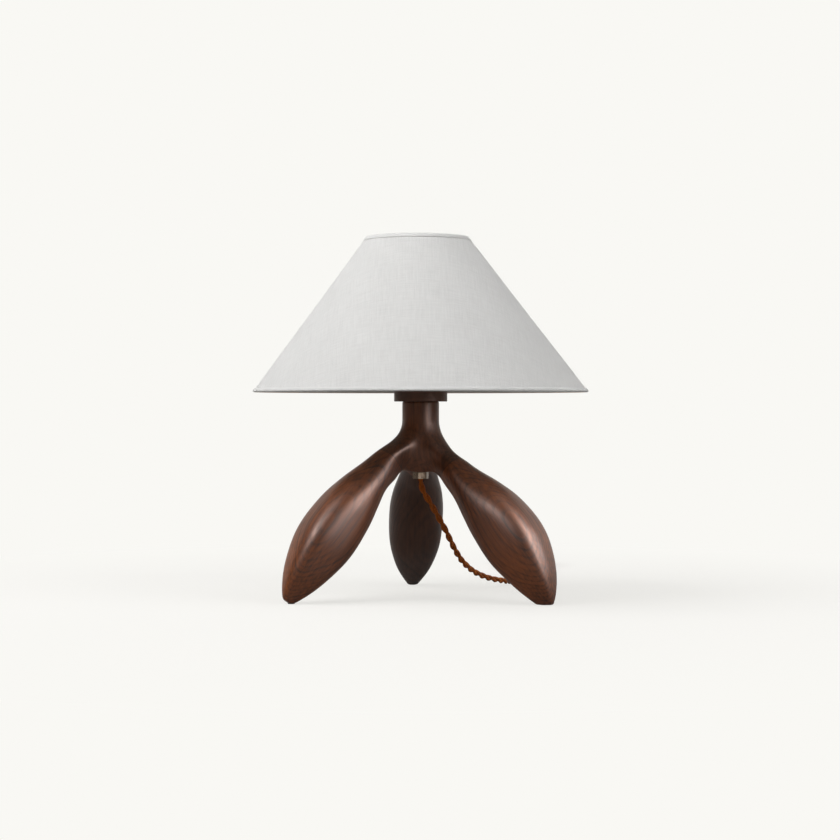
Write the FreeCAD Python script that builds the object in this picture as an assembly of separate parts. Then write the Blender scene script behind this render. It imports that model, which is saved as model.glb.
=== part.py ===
import FreeCAD, Part
import math
import os
from FreeCAD import Vector

# Table lamp with a carved three-legged wooden base and a cone shade. Millimetres.
# The origin is on the floor under the neck's axis, +Z is up, and the two front legs are
# on the -Y side.

# Fits and shared allowances
overrun = 3.0               # how far a cutting tool runs past the face it leaves
slip = 0.05                 # radial clearance of a shaft or ring that moves
fit_gap = 0.1               # clearance round a piece that is pushed into its place
seat_gap = 0.2              # clearance under a piece that turns on its seat

# Wooden neck and hub
neck_radius = 22.1
neck_top_height = 234.0
neck_plain_length = 22.0    # the neck is a plain cylinder this far down
hub_length = 84.0           # from the neck's top to the flat where the nut bears
core_radius = 28.5          # under the neck, between the arms
core_lift = 20.0            # from the flat up to where the core is that wide
hub_foot_radius = 14.0      # of that flat
seam_radius = 45.0          # from the axis to the glue line of each leg
flare_radius = 21.0         # each arm starts as a round of this size inside the neck
flare_drop = 10.0           # its height, under the neck's top
flare_pull = 22.0           # how far the glue line's slope carries back up the arm
heel_drop = 40.0            # the same under the arm, from the neck
heel_pull = 25.0
flare_width_pull = 8.0      # how much the arm still widens at the glue line
arm_rings = 9
pipe_hole_radius = 5.3

# Legs: one carved form, turned to three sides, each a little different by hand
leg_reach = 176.0           # from the axis to the foot
leg_half_width = 34.0       # at the widest, across the leg
leg_half_depth = 36.0       # at the thickest, in the leg's own upright plane
spine_out_shares = (0.0, 0.19, 0.36, 0.63, 1.0)      # of the way from the seam to the foot
spine_height_shares = (1.0, 0.85, 0.70, 0.48, 0.0)   # of the shoulder's height
form_station_shares = (0.0, 0.18, 0.36, 0.54, 0.72, 0.88, 1.0)
width_shares = (0.59, 0.735, 0.90, 0.985, 1.0, 0.87, 0.50)
depth_shares = (0.40, 0.55, 0.76, 0.93, 1.0, 0.87, 0.67)
heel_end_share = 0.30       # under the arm, wood is left for the arch up to this place
tip_power = 8               # how suddenly the leg closes at its tip
tip_end_share = 0.993       # the carved surface ends here, under the floor line
round_power = 2.0           # section: 2 is an ellipse, more has soft ridges
ridge_power = 3.0
ridge_start_share = 0.30
ridge_full_share = 0.85
leg_rings = 17
leg_ring_points = 24
leg_ring_crowding = 1.5     # rings lie closer together towards the tip
# (shoulder: from the hub's flat up to the leg's middle at the seam, flare: how far under
# the neck's top the arm's own line leaves the neck)
legs = {
    "left": {"turn": 209.1, "shoulder": 17.0, "depth": 0.96, "lean": -3.8,
             "sweep": -4.5, "knee": 1.6, "foot": 0.0, "heel": 9.0, "flare": 46.0},
    "right": {"turn": 328.8, "shoulder": 6.0, "depth": 1.03, "lean": -4.5,
              "sweep": 5.2, "knee": 8.9, "foot": -4.0, "heel": 5.0, "flare": 44.5},
    "back": {"turn": 92.6, "shoulder": 6.0, "depth": 0.93, "lean": 2.8,
             "sweep": -5.7, "knee": 6.4, "foot": -2.0, "heel": 6.0, "flare": 46.0},
}
dowel_radius = 5.0
dowel_length = 38.0
floor_gap = 0.3             # from the floor to the wood of a foot
pad_thickness = 1.6
pad_radius = 4.0

# Collar on the neck
collar_radius = 31.8
collar_thickness = 14.0
collar_easing = 1.0

# Lamp pipe, its nuts and washers
pipe_radius = 5.0
pipe_bore_radius = 4.0
bottom_washer_radius = 11.0
bottom_washer_thickness = 1.3
bottom_nut_flats = 17.0
bottom_nut_height = 8.2
bottom_nut_turn = 15.0
nut_easing = 0.8
bushing_height = 3.0
bushing_wall = 1.15
saddle_washer_radius = 8.0
saddle_washer_thickness = 1.0
lock_nut_flats = 14.0
lock_nut_height = 4.0
lock_nut_turn = 30.0
pipe_into_socket = 8.0

# Harp and its saddle
saddle_thickness = 1.6
saddle_width = 14.0
saddle_half_span = 23.0     # from the axis to each prong's middle
saddle_shoulder_height = 10.0
prong_width = 5.6
prong_height = 9.0          # above the shoulder
harp_lug_radius = 3.05
harp_lug_length = 14.0
harp_lug_lift = 3.0         # from the prong's shoulder up to the lug
harp_wire_radius = 1.6
harp_recess = 28.6          # from the shade's top down to the harp's top boss
harp_half_width = 48.0
harp_boss_radius = 7.0
harp_boss_height = 3.0
stud_radius = 3.1
stud_length = 13.0
sleeve_wall = 0.9
sleeve_length = 13.0
harp_side_shares = ((1.0, 0.0), (1.0, 0.17), (1.45, 0.30), (2.05, 0.48), (2.09, 0.68),
                    (1.60, 0.87), (0.85, 0.965))   # out in half spans, up in harp rises

# Lampholder
cap_radius = 16.6
cap_neck_radius = 9.0
cap_height = 17.0
cap_wall = 1.0
shell_radius = 15.8
shell_wall = 0.6
shell_length = 38.0
shell_overlap = 3.0         # how far the shell sits inside the cap
liner_wall = 0.7
body_radius = 13.6
body_height = 14.0
body_lift = 3.0             # from the cap's floor to the insulating body
screw_shell_wall = 0.4
screw_shell_length = 22.0
contact_radius = 4.0
contact_thickness = 1.2
terminal_radius = 1.9
terminal_length = 3.0
switch_share = 0.66         # of the insulating body's height
terminal_share = 0.33
switch_shaft_radius = 1.5
switch_shaft_length = 25.0
switch_bore_depth = 5.0
knob_radius = 5.6
knob_length = 10.0
knob_ribs = 12
knob_rib_radius = 0.7

# Bulb
bulb_cap_radius = 13.0
bulb_cap_length = 19.0
bulb_cap_wall = 0.5
bulb_insulator_height = 3.0
bulb_insulator_radius = 9.0
bulb_tip_radius = 3.5
bulb_tip_height = 1.2
bulb_globe_share = 0.3452   # the globe's radius, of the glass's length
bulb_top_gap = 11.0         # from the glass up to the harp's boss
bulb_throat_radius = 13.0

# Shade
shade_bottom_radius = 200.0
shade_top_radius = 61.0
shade_lift = 11.9           # from the neck's top up to the shade's lower edge
shade_height = 184.7
shade_top_shift = -4.0      # the top ring sits this far to the left of the axis
linen_thickness = 0.7
liner_thickness = 0.6
glue_gap = 0.05
hem_width = 5.0
hem_thickness = 0.5
shade_wire = 2.4            # side of the square-drawn ring wire
spider_wire_radius = 1.1
spider_hub_radius = 10.0
spider_hub_bore_radius = stud_radius + fit_gap
spider_hub_thickness = 1.6
spider_arm_count = 3
spider_first_turn = 30.0

# Finial
finial_base_radius = 6.5
finial_base_height = 3.0
finial_neck_radius = 3.6
finial_ball_radius = 6.0
finial_height = 18.0
finial_thread_depth = 11.5

# Cord: a twisted pair, 7.4 across, drawn here as one six-sided lead
cord_diameter = 7.4
cord_sides = 6
run_share = 0.45            # of the shorter run that a bend's tangent takes
cord_turn_gap = 0.7         # between neighbouring turns of the put-away coil
coil_centre_x = 150.5
coil_centre_y = 480.0
coil_outer_radius = 43.2    # of the first turn's own line
coil_base_height = 4.6      # of the first turn's own line
coil_layer_turns = (1.25, 1.0, 1.375, 0.875)
coil_lead = 24.0            # the last run before the coil
tail_lead = 13.0            # the first run after it
coil_climb_turns = 0.5      # the share of a turn in which a layer is climbed
coil_stations_per_turn = 4
coil_samples_per_turn = 72
tie_width = 10.0
tie_thickness = 0.6
tie_turn = 52.0             # where round the coil the tie sits
tie_rounding = 5.0

# The cord's fall from the nut: x, y, and the height as a share of the nut's
fall_route_shares = (
    (0.0, 0.0, 1.0),
    (0.0, 0.0, 0.9154),
    (7.6, 1.2, 0.8195),
    (17.2, 5.0, 0.7137),
    (26.2, 12.0, 0.6065),
    (33.4, 20.5, 0.5078),
    (41.3, 34.0, 0.3879),
    (51.5, 54.0, 0.2680),
    (66.5, 80.0, 0.1657),
    (84.0, 105.0, 0.1008),
)
# The cord's way on the floor, up to the coil
floor_route = (
    (101.0, 127.0, 9.3),
    (113.0, 152.0, 5.6),
    (119.5, 184.0, 3.9),
    (122.5, 222.0, 3.8),
    (123.5, 263.0, 3.8),
    (121.5, 306.0, 3.8),
    (116.5, 350.0, 3.8),
    (111.4, 390.0, 3.9),
    (107.6, 424.0, 4.3),
)
# The last of the cord, from the coil down to the plug
tail_route = (
    (186.8, 441.0, 24.8),
    (183.5, 422.5, 16.0),
    (178.3, 404.0, 8.8),
    (172.5, 387.5, 8.8),
)

# Plug: two flat blades
plug_neck_length = 20.0     # a tapered strain relief
plug_neck_radius = 4.4      # where the cord goes in
plug_root_radius = 6.6      # where it meets the plug's body
plug_body_length = 30.0
plug_body_width = 26.0
plug_body_height = 16.4
plug_edge = 3.0
blade_length = 16.0
blade_root = 6.0
blade_thickness = 1.5
blade_height = 6.4
blade_spacing = 12.7
blade_end_easing = 1.5

# Heights worked out from the sizes above
neck_plain_height = neck_top_height - neck_plain_length
hub_foot_height = neck_top_height - hub_length
core_height = hub_foot_height + core_lift
flare_height = neck_top_height - flare_drop
shade_bottom_height = neck_top_height + shade_lift
shade_top_height = shade_bottom_height + shade_height
collar_top_height = neck_top_height + collar_thickness
saddle_top_height = collar_top_height + saddle_thickness
saddle_washer_top_height = saddle_top_height + saddle_washer_thickness
lock_nut_top_height = saddle_washer_top_height + lock_nut_height
socket_floor_height = lock_nut_top_height
pipe_top_height = socket_floor_height + pipe_into_socket
exit_height = hub_foot_height - bottom_nut_height
pipe_foot_height = exit_height + bushing_height
shell_foot_height = socket_floor_height + cap_height - shell_overlap
shell_top_height = shell_foot_height + shell_length
body_foot_height = pipe_top_height + body_lift
body_top_height = body_foot_height + body_height
contact_top_height = body_top_height + contact_thickness
bulb_cap_foot_height = contact_top_height + bulb_tip_height + bulb_insulator_height
glass_foot_height = bulb_cap_foot_height + bulb_cap_length
harp_top_height = shade_top_height - harp_recess
bulb_glass_length = harp_top_height - harp_boss_height - bulb_top_gap - glass_foot_height
bulb_globe_radius = bulb_globe_share * bulb_glass_length
shoulder_height = collar_top_height + saddle_shoulder_height
lug_foot_height = shoulder_height + harp_lug_lift
lug_top_height = lug_foot_height + harp_lug_length
spider_height = harp_top_height + seat_gap
finial_foot_height = spider_height + spider_hub_thickness + seat_gap
cord_radius = cord_diameter / 2
coil_pitch = cord_diameter + cord_turn_gap

origin = Vector(0, 0, 0)
up = Vector(0, 0, 1)
down = Vector(0, 0, -1)


def cylinder(radius, height, foot, direction=up):
    return Part.makeCylinder(radius, height, foot, direction)


def tube(outer, inner, height, foot, direction=up):
    past = direction * overrun
    bore = cylinder(inner, height + 2 * overrun, foot - past, direction)
    return cylinder(outer, height, foot, direction).cut(bore)


def block(size_x, size_y, size_z, middle):
    corner = middle - Vector(size_x / 2, size_y / 2, size_z / 2)
    return Part.makeBox(size_x, size_y, size_z, corner)


def spun(profile):
    """A profile of (radius, height) corners, or of edges already made, turned round Z."""
    if isinstance(profile[0], tuple):
        corners = [Vector(radius, 0, height) for radius, height in profile]
        profile = Part.makePolygon(corners + corners[:1]).Edges
    return Part.Face(Part.Wire(profile)).revolve(origin, up, 360)


def polygon_ring(count, radius, centre, direction, turn=0.0):
    """A closed regular outline square to a direction."""
    across = direction.cross(up)
    if across.Length < math.sin(math.radians(1)):
        across = Vector(1, 0, 0)
    across.normalize()
    other = direction.cross(across)
    other.normalize()
    corners = []
    for index in range(count):
        angle = 2 * math.pi * index / count + math.radians(turn)
        offset = across * (radius * math.cos(angle)) + other * (radius * math.sin(angle))
        corners.append(centre + offset)
    return Part.makePolygon(corners + corners[:1])


def hex_nut(flats, height, foot, bore, easing, turn):
    """A six-sided nut with its corners eased at both ends."""
    corner_radius = flats / math.sqrt(3)
    outline = Part.Face(polygon_ring(6, corner_radius, foot, up, turn))
    nut = outline.extrude(up * height)
    eased = spun([
        (0, foot.z),
        (corner_radius - easing, foot.z),
        (corner_radius, foot.z + easing / 2),
        (corner_radius, foot.z + height - easing / 2),
        (corner_radius - easing, foot.z + height),
        (0, foot.z + height),
    ])
    past = up * overrun
    hole = cylinder(bore, height + 2 * overrun, foot - past)
    return nut.common(eased).cut(hole)


def sweep(outline, path):
    shell = Part.BRepOffsetAPI.MakePipeShell(path)
    shell.add(outline)
    shell.build()
    shell.makeSolid()
    return shell.shape()


def arc_from_tangent(start, tangent, end):
    """The arc that leaves start along a tangent and ends at a point."""
    chord = end - start
    length = chord.Length
    chord.normalize()
    side = tangent - chord * tangent.dot(chord)
    if side.Length < math.radians(0.01):
        return Part.LineSegment(start, end).toShape()
    half_turn = math.atan2(side.Length, tangent.dot(chord))
    side.normalize()
    middle = (start + end) * 0.5 + side * (length / 2 * math.tan(half_turn / 2))
    return Part.Arc(start, middle, end).toShape()


def biarc(start, start_way, end, end_way):
    """Two arcs that join two points and keep the way that the line runs at each."""
    span = end - start
    ways = start_way + end_way
    spread = 2 * (1 - start_way.dot(end_way))
    along = span.dot(ways)
    reach = (math.sqrt(along * along + spread * span.dot(span)) - along) / spread
    joint = (start + start_way * reach + end - end_way * reach) * 0.5
    last = arc_from_tangent(end, end_way * -1, joint)
    return [arc_from_tangent(start, start_way, joint), last]


def rounded_path(points, label, share=run_share):
    """Straight runs joined by tangent arcs, each as large as its two runs allow."""
    corners = [Vector(*point) for point in points]
    edges = []
    radii = []
    begin = corners[0]
    for before, corner, after in zip(corners, corners[1:], corners[2:]):
        arriving = corner - before
        leaving = after - corner
        tangent_length = share * min(arriving.Length, leaving.Length)
        arriving.normalize()
        leaving.normalize()
        half_turn = math.acos(max(-1.0, min(1.0, arriving.dot(leaving)))) / 2
        radii.append(tangent_length / math.tan(half_turn))
        first = corner - arriving * tangent_length
        last = corner + leaving * tangent_length
        edges.append(Part.LineSegment(begin, first).toShape())
        edges.append(arc_from_tangent(first, arriving, last))
        begin = last
    edges.append(Part.LineSegment(begin, corners[-1]).toShape())
    print(label, "bend radii", [round(radius, 1) for radius in radii])
    return Part.Wire(edges)


def eased_value(stations, values, place):
    """A smooth curve through values at stations, with no overshoot."""
    steps = [b - a for a, b in zip(stations, stations[1:])]
    slopes = [(b - a) / s for a, b, s in zip(values, values[1:], steps)]
    tangents = [slopes[0]]
    for left, right in zip(slopes, slopes[1:]):
        both = left * right
        tangents.append(0.0 if both <= 0 else 2 * both / (left + right))
    tangents.append(slopes[-1])
    for index, step in enumerate(steps):
        if place <= stations[index + 1] or index == len(steps) - 1:
            s = (place - stations[index]) / step
            square = s * s
            cube = square * s
            return ((2 * cube - 3 * square + 1) * values[index]
                    + (cube - 2 * square + s) * step * tangents[index]
                    + (3 * square - 2 * cube) * values[index + 1]
                    + (cube - square) * step * tangents[index + 1])
    return values[-1]


class Leg:
    """One carved leg: a curved spine in its own upright plane, with sections along it."""

    def __init__(self, hand):
        self.out_way = Vector(math.cos(math.radians(hand["turn"])),
                              math.sin(math.radians(hand["turn"])), 0)
        self.side_way = Vector(-self.out_way.y, self.out_way.x, 0)
        self.lean = hand["lean"]
        self.depth = hand["depth"]
        self.heel = hand["heel"]
        self.flare = neck_top_height - hand["flare"]
        outs = [seam_radius + share * (leg_reach - seam_radius) for share in spine_out_shares]
        shoulder = hub_foot_height + hand["shoulder"]
        heights = [share * shoulder for share in spine_height_shares]
        outs[3] += hand["sweep"]
        heights[3] += hand["knee"]
        heights[4] += hand["foot"]
        self.spine = list(zip(outs, heights))
        rise = (self.spine[1][0] - self.spine[0][0], self.spine[1][1] - self.spine[0][1])
        degree = len(self.spine) - 1
        self.start_speed = (rise[0] * degree, rise[1] * degree)

    def middle(self, place):
        """(out, height) of the spine, and its way, at a place from 0 at the seam to 1."""
        row = self.spine
        while len(row) > 2:
            row = [(a[0] + (b[0] - a[0]) * place, a[1] + (b[1] - a[1]) * place)
                   for a, b in zip(row, row[1:])]
        way = (row[1][0] - row[0][0], row[1][1] - row[0][1])
        size = math.hypot(*way)
        out = row[0][0] + way[0] * place
        height = row[0][1] + way[1] * place
        return out, height, way[0] / size, way[1] / size

    def sizes(self, place):
        """Half width, half depths above and below the spine, and the section's power."""
        closing = math.sqrt(max(0.0, 1 - max(0.0, place) ** tip_power))
        width = leg_half_width * eased_value(form_station_shares, width_shares, place)
        depth = leg_half_depth * eased_value(form_station_shares, depth_shares, place)
        s = (place - ridge_start_share) / (ridge_full_share - ridge_start_share)
        s = max(0.0, min(1.0, s))
        power = round_power + (ridge_power - round_power) * s * s * (3 - 2 * s)
        width *= closing
        depth *= closing
        s = min(1.0, max(0.0, place) / heel_end_share)
        heel = self.heel * (1 - s * s * (3 - 2 * s))
        return width, depth * self.depth, depth * self.depth + heel, power

    def point(self, out, height, side):
        return self.out_way * out + self.side_way * side + up * height

    def ring(self, place):
        """The points of one section, square to the spine."""
        out, height, way_out, way_up = self.middle(place)
        width, high, low, power = self.sizes(place)
        lean = self.lean * max(0.0, place) ** 2
        rise = (-way_up, way_out)
        return self.section((out, height), rise, width, high, low, power, lean)

    def section(self, centre, rise, width, high, low, power, lean):
        """Points round a rounded outline in the plane of the side way and a rising way."""
        points = []
        for index in range(leg_ring_points):
            angle = 2 * math.pi * index / leg_ring_points
            c = math.cos(angle)
            s = math.sin(angle)
            depth = high if s >= 0 else low
            reach = (abs(c / width) ** power + abs(s / depth) ** power) ** (-1 / power)
            points.append(self.point(centre[0] + rise[0] * reach * s,
                                     centre[1] + rise[1] * reach * s, reach * c + lean))
        return points

    def arm_ring(self, place):
        """A section of the hub's arm: round in the neck at 0, the leg's own at 1."""
        out, height, way_out, way_up = self.middle(0.0)
        width, high, low, power = self.sizes(0.0)
        widen = math.atan2(leg_half_depth * (depth_shares[1] - depth_shares[0]),
                           form_station_shares[1] * math.hypot(*self.start_speed))
        slope = math.atan2(way_up, way_out) + widen
        top_end = (out - way_up * high, height + way_out * high)
        low_end = (out + way_up * low, height - way_out * low)
        top = curve_point([
            (flare_radius, flare_height), (flare_radius, self.flare),
            (top_end[0] - flare_pull * math.cos(slope),
             top_end[1] - flare_pull * math.sin(slope)), top_end], place)
        under = curve_point([
            (-flare_radius, flare_height), (-flare_radius, flare_height - heel_drop),
            (low_end[0] - heel_pull * way_out, low_end[1] - heel_pull * way_up), low_end],
            place)
        share = 0.5 + (low / (low + high) - 0.5) * place
        rise = (top[0] - under[0], top[1] - under[1])
        size = math.hypot(*rise)
        rise = (rise[0] / size, rise[1] / size)
        centre = (under[0] + rise[0] * size * share, under[1] + rise[1] * size * share)
        half = curve_point([(flare_radius, 0), (flare_radius, 0),
                            (width - flare_width_pull / 3, 0), (width, 0)], place)[0]
        return self.section(centre, rise, half, size * (1 - share), size * share, power, 0.0)


def curve_point(row, place):
    """A point of the smooth curve that a row of four points guides."""
    while len(row) > 1:
        row = [(a[0] + (b[0] - a[0]) * place, a[1] + (b[1] - a[1]) * place)
               for a, b in zip(row, row[1:])]
    return row[0]


def lofted(rings):
    wires = []
    for ring in rings:
        curve = Part.BSplineCurve()
        curve.interpolate(Points=ring, PeriodicFlag=True)
        wires.append(Part.Wire([curve.toShape()]))
    return Part.makeLoft(wires, True, False)


def hub_core():
    """The neck, and under it a slightly wider core with a rounded flat foot."""
    wide = Vector(core_radius, 0, core_height)
    foot = Vector(hub_foot_radius, 0, hub_foot_height)
    plain = Vector(neck_radius, 0, neck_plain_height)
    swell = arc_from_tangent(plain, down, wide)
    last = swell.Curve.tangent(swell.LastParameter)[0]
    if last.z > 0:
        last = last * -1
    edges = [Part.makeLine(up * neck_top_height, Vector(neck_radius, 0, neck_top_height)),
             Part.makeLine(Vector(neck_radius, 0, neck_top_height), plain), swell]
    edges += biarc(wide, last, foot, Vector(-1, 0, 0))
    edges += [Part.makeLine(foot, up * hub_foot_height),
              Part.makeLine(up * hub_foot_height, up * neck_top_height)]
    return spun(edges)


def carved_hub():
    hub = hub_core()
    for leg in carved_legs.values():
        rings = [leg.arm_ring(index / (arm_rings - 1)) for index in range(arm_rings)]
        hub = hub.fuse(lofted(rings))
    for leg in carved_legs.values():
        hub = hub.cut(dowel(leg, fit_gap))
    length = neck_top_height - hub_foot_height
    hub = hub.cut(cylinder(pipe_hole_radius, length + 2 * overrun,
                           up * (hub_foot_height - overrun)))
    recess = bottom_washer_thickness + overrun
    return hub.cut(cylinder(bottom_washer_radius + fit_gap, recess,
                            up * (hub_foot_height - overrun)))


def dowel(leg, gap=0.0):
    out, height, way_out, way_up = leg.middle(0.0)
    way = leg.point(way_out, way_up, 0)
    half = dowel_length / 2 + gap
    return cylinder(dowel_radius + gap, 2 * half, leg.point(out, height, 0) - way * half, way)


def carved_leg(leg):
    """A leg, and the felt pad let into its foot."""
    rings = []
    for index in range(leg_rings):
        share = 1 - (1 - index / (leg_rings - 1)) ** leg_ring_crowding
        rings.append(leg.ring(tip_end_share * share))
    solid = lofted(rings)
    solid = solid.cut(dowel(leg, fit_gap))
    size = 4 * leg_reach
    floor = block(size, size, size, up * (floor_gap - size / 2))
    solid = solid.cut(floor)
    flat = min(solid.Faces, key=lambda face: face.CenterOfMass.z)
    spot = Vector(flat.CenterOfMass.x, flat.CenterOfMass.y, 0)
    recess = cylinder(pad_radius + fit_gap, pad_thickness + overrun, spot - up * overrun)
    pad = cylinder(pad_radius, pad_thickness, spot)
    return solid.cut(recess), pad


def collar():
    foot = neck_top_height
    disc = cylinder(collar_radius, collar_thickness, up * foot)
    edges = [edge for edge in disc.Edges if edge.Curve.TypeId == "Part::GeomCircle"]
    disc = disc.makeFillet(collar_easing, edges)
    return disc.cut(cylinder(pipe_hole_radius, collar_thickness + 2 * overrun,
                             up * (foot - overrun)))


def harp_saddle():
    """A bent strip: a flat floor with the pipe's hole, and two prongs with shoulders."""
    floor_span = 2 * saddle_half_span + saddle_thickness
    middle = collar_top_height + saddle_thickness / 2
    saddle = block(floor_span, saddle_width, saddle_thickness, up * middle)
    for side in (-1, 1):
        x = side * saddle_half_span
        wall_height = saddle_shoulder_height
        wall = block(saddle_thickness, saddle_width, wall_height,
                     Vector(x, 0, collar_top_height + wall_height / 2))
        prong = block(saddle_thickness, prong_width, prong_height,
                      Vector(x, 0, shoulder_height + prong_height / 2))
        saddle = saddle.fuse([wall, prong])
    hole = cylinder(pipe_radius + fit_gap, saddle_thickness + 2 * overrun,
                    up * (collar_top_height - overrun))
    return saddle.removeSplitter().cut(hole)


def harp():
    """A bowed wire with a lug on each foot and a boss and stud on top."""
    rise = harp_top_height - lug_top_height
    foot = lug_top_height - harp_wire_radius
    scale = harp_half_width / (max(out for out, _ in harp_side_shares))
    outs = []
    for out, height in harp_side_shares:
        wide = saddle_half_span if out == 1.0 else out * scale
        outs.append((wide, foot + rise * height))
    crown = harp_top_height - harp_boss_height / 2
    left = [(-out, 0, height) for out, height in outs]
    right = [(out, 0, height) for out, height in reversed(outs)]
    path = rounded_path(left + [(0, 0, crown)] + right, "harp")
    start = Vector(*left[0])
    outline = Part.Wire([Part.makeCircle(harp_wire_radius, start, up)])
    wire = sweep(outline, path)
    boss = cylinder(harp_boss_radius, harp_boss_height,
                    up * (harp_top_height - harp_boss_height))
    stud = cylinder(stud_radius, stud_length, up * harp_top_height)
    lugs = []
    for side in (-1, 1):
        x = side * saddle_half_span
        lug = cylinder(harp_lug_radius, harp_lug_length, Vector(x, 0, lug_foot_height))
        slot_top = shoulder_height + prong_height + fit_gap
        slot = block(saddle_thickness + 2 * fit_gap, 2 * harp_lug_radius + overrun,
                     2 * (slot_top - lug_foot_height),
                     Vector(x, 0, lug_foot_height))
        lugs.append(lug.cut(slot))
    return wire.fuse([boss, stud] + lugs)


def harp_sleeve(side):
    foot = Vector(side * saddle_half_span, 0, shoulder_height + fit_gap)
    inner = harp_lug_radius + slip
    return tube(inner + sleeve_wall, inner, sleeve_length, foot)


def socket_cap():
    """The lampholder's lower bell, screwed to the pipe."""
    foot = socket_floor_height
    neck_top = foot + cap_height / 4
    return spun([
        (pipe_radius, foot),
        (cap_neck_radius, foot),
        (cap_neck_radius, neck_top),
        (cap_radius - cap_wall, body_foot_height - 2 * cap_wall),
        (cap_radius, body_foot_height),
        (cap_radius, foot + cap_height),
        (shell_radius, foot + cap_height),
        (shell_radius, shell_foot_height),
        (body_radius + fit_gap, shell_foot_height),
        (body_radius + fit_gap, body_foot_height),
        (body_radius - cap_wall, body_foot_height),
        (cap_neck_radius - cap_wall, neck_top + cap_wall),
        (cap_neck_radius - cap_wall, foot + pipe_into_socket / 2),
        (pipe_radius, foot + pipe_into_socket / 2),
    ])


def switch_hole(length, gap):
    """The way of the switch shaft, towards the front."""
    start = Vector(0, -(body_radius - switch_bore_depth), switch_height)
    return cylinder(switch_shaft_radius + gap, length, start, Vector(0, -1, 0))


def socket_shell():
    shell = tube(shell_radius - fit_gap, shell_radius - fit_gap - shell_wall, shell_length,
                 up * shell_foot_height)
    return shell.cut(switch_hole(switch_shaft_length, slip))


def socket_liner():
    outer = shell_radius - fit_gap - shell_wall - fit_gap
    liner = tube(outer, outer - liner_wall, shell_length, up * shell_foot_height)
    return liner.cut(switch_hole(switch_shaft_length, slip))


def socket_body():
    body = cylinder(body_radius, body_height, up * body_foot_height)
    body = body.cut(switch_hole(switch_shaft_length, slip))
    for side in (-1, 1):
        body = body.cut(terminal(side, fit_gap))
    return body


def terminal(side, gap=0.0):
    """A screw in the side of the insulating body."""
    start = Vector(side * (body_radius - terminal_length - gap), 0, terminal_height)
    return cylinder(terminal_radius + gap, terminal_length + 2 * gap, start, Vector(side, 0, 0))


def screw_shell():
    inner = bulb_cap_radius + fit_gap
    return tube(inner + screw_shell_wall, inner, screw_shell_length, up * body_top_height)


def switch_shaft():
    start = Vector(0, -(body_radius - switch_bore_depth) - seat_gap, switch_height)
    return cylinder(switch_shaft_radius, switch_shaft_length - seat_gap, start,
                    Vector(0, -1, 0))


def switch_knob():
    """A small ribbed knob on the switch shaft's end."""
    end = body_radius - switch_bore_depth + switch_shaft_length
    start = Vector(0, -(end - knob_length / 2), switch_height)
    knob = cylinder(knob_radius, knob_length, start, Vector(0, -1, 0))
    for index in range(knob_ribs):
        angle = 2 * math.pi * index / knob_ribs
        side = Vector(math.cos(angle), 0, math.sin(angle)) * knob_radius
        groove = cylinder(knob_rib_radius, knob_length + 2 * overrun,
                          start + side + Vector(0, overrun, 0), Vector(0, -1, 0))
        knob = knob.cut(groove)
    hole_start = Vector(0, -(end - knob_length / 2) + overrun, switch_height)
    hole = cylinder(switch_shaft_radius, knob_length / 2 + overrun, hole_start,
                    Vector(0, -1, 0))
    return knob.cut(hole)


def bulb_glass():
    """A pear-shaped globe whose throat runs down into the screw cap."""
    foot = glass_foot_height
    centre = foot + bulb_glass_length - bulb_globe_radius
    lean = math.radians(35)
    low = Vector(bulb_globe_radius * math.cos(lean), 0,
                 centre - bulb_globe_radius * math.sin(lean))
    side = Vector(bulb_globe_radius, 0, centre)
    top = Vector(0, 0, centre + bulb_globe_radius)
    shoulder = Vector(bulb_globe_radius * math.cos(lean), 0,
                      centre + bulb_globe_radius * math.sin(lean))
    throat = Vector(bulb_throat_radius, 0, foot + bulb_throat_radius / 2)
    edges = [
        Part.Arc(top, shoulder, side).toShape(),
        arc_from_tangent(side, Vector(0, 0, -1), low),
        arc_from_tangent(low, Vector(-math.sin(lean), 0, -math.cos(lean)), throat),
        Part.makeLine(throat, Vector(bulb_throat_radius, 0, foot)),
        Part.makeLine(Vector(bulb_throat_radius, 0, foot), up * foot),
        Part.makeLine(up * foot, top),
    ]
    return spun(edges)


def bulb_cap():
    return tube(bulb_cap_radius, bulb_cap_radius - bulb_cap_wall, bulb_cap_length,
                up * bulb_cap_foot_height)


def bulb_insulator():
    foot = bulb_cap_foot_height - bulb_insulator_height
    return spun([
        (0, foot),
        (bulb_tip_radius, foot),
        (bulb_insulator_radius, bulb_cap_foot_height),
        (bulb_cap_radius - bulb_cap_wall, bulb_cap_foot_height),
        (bulb_cap_radius - bulb_cap_wall, bulb_cap_foot_height + bulb_insulator_height),
        (0, bulb_cap_foot_height + bulb_insulator_height),
    ])


def oblique_cone(inset_bottom, inset_top, low, high):
    """A cone's solid between two heights, drawn in by an inset from the shade's outside."""
    def circle(height, inset):
        share = (height - shade_bottom_height) / (shade_top_height - shade_bottom_height)
        radius = shade_bottom_radius + (shade_top_radius - shade_bottom_radius) * share
        centre = Vector(shade_top_shift * share, 0, height)
        return Part.Wire([Part.makeCircle(radius - inset, centre, up)])
    return Part.makeLoft([circle(low, inset_bottom), circle(high, inset_top)], True, True)


def cone_layer(outside, thickness, low, high):
    """One layer of the shade: a wall between two insets."""
    slope = shade_bottom_radius - shade_top_radius
    rise = shade_top_height - shade_bottom_height
    across = math.hypot(slope, rise) / rise
    outer = oblique_cone(outside * across, outside * across, low, high)
    past = overrun
    inset = (outside + thickness) * across
    inner = oblique_cone(inset, inset, low - past, high + past)
    return outer.cut(inner)


def ring_inset():
    slope = shade_bottom_radius - shade_top_radius
    rise = shade_top_height - shade_bottom_height
    return (linen_thickness + glue_gap + liner_thickness + fit_gap) * math.hypot(slope, rise) / rise


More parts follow.
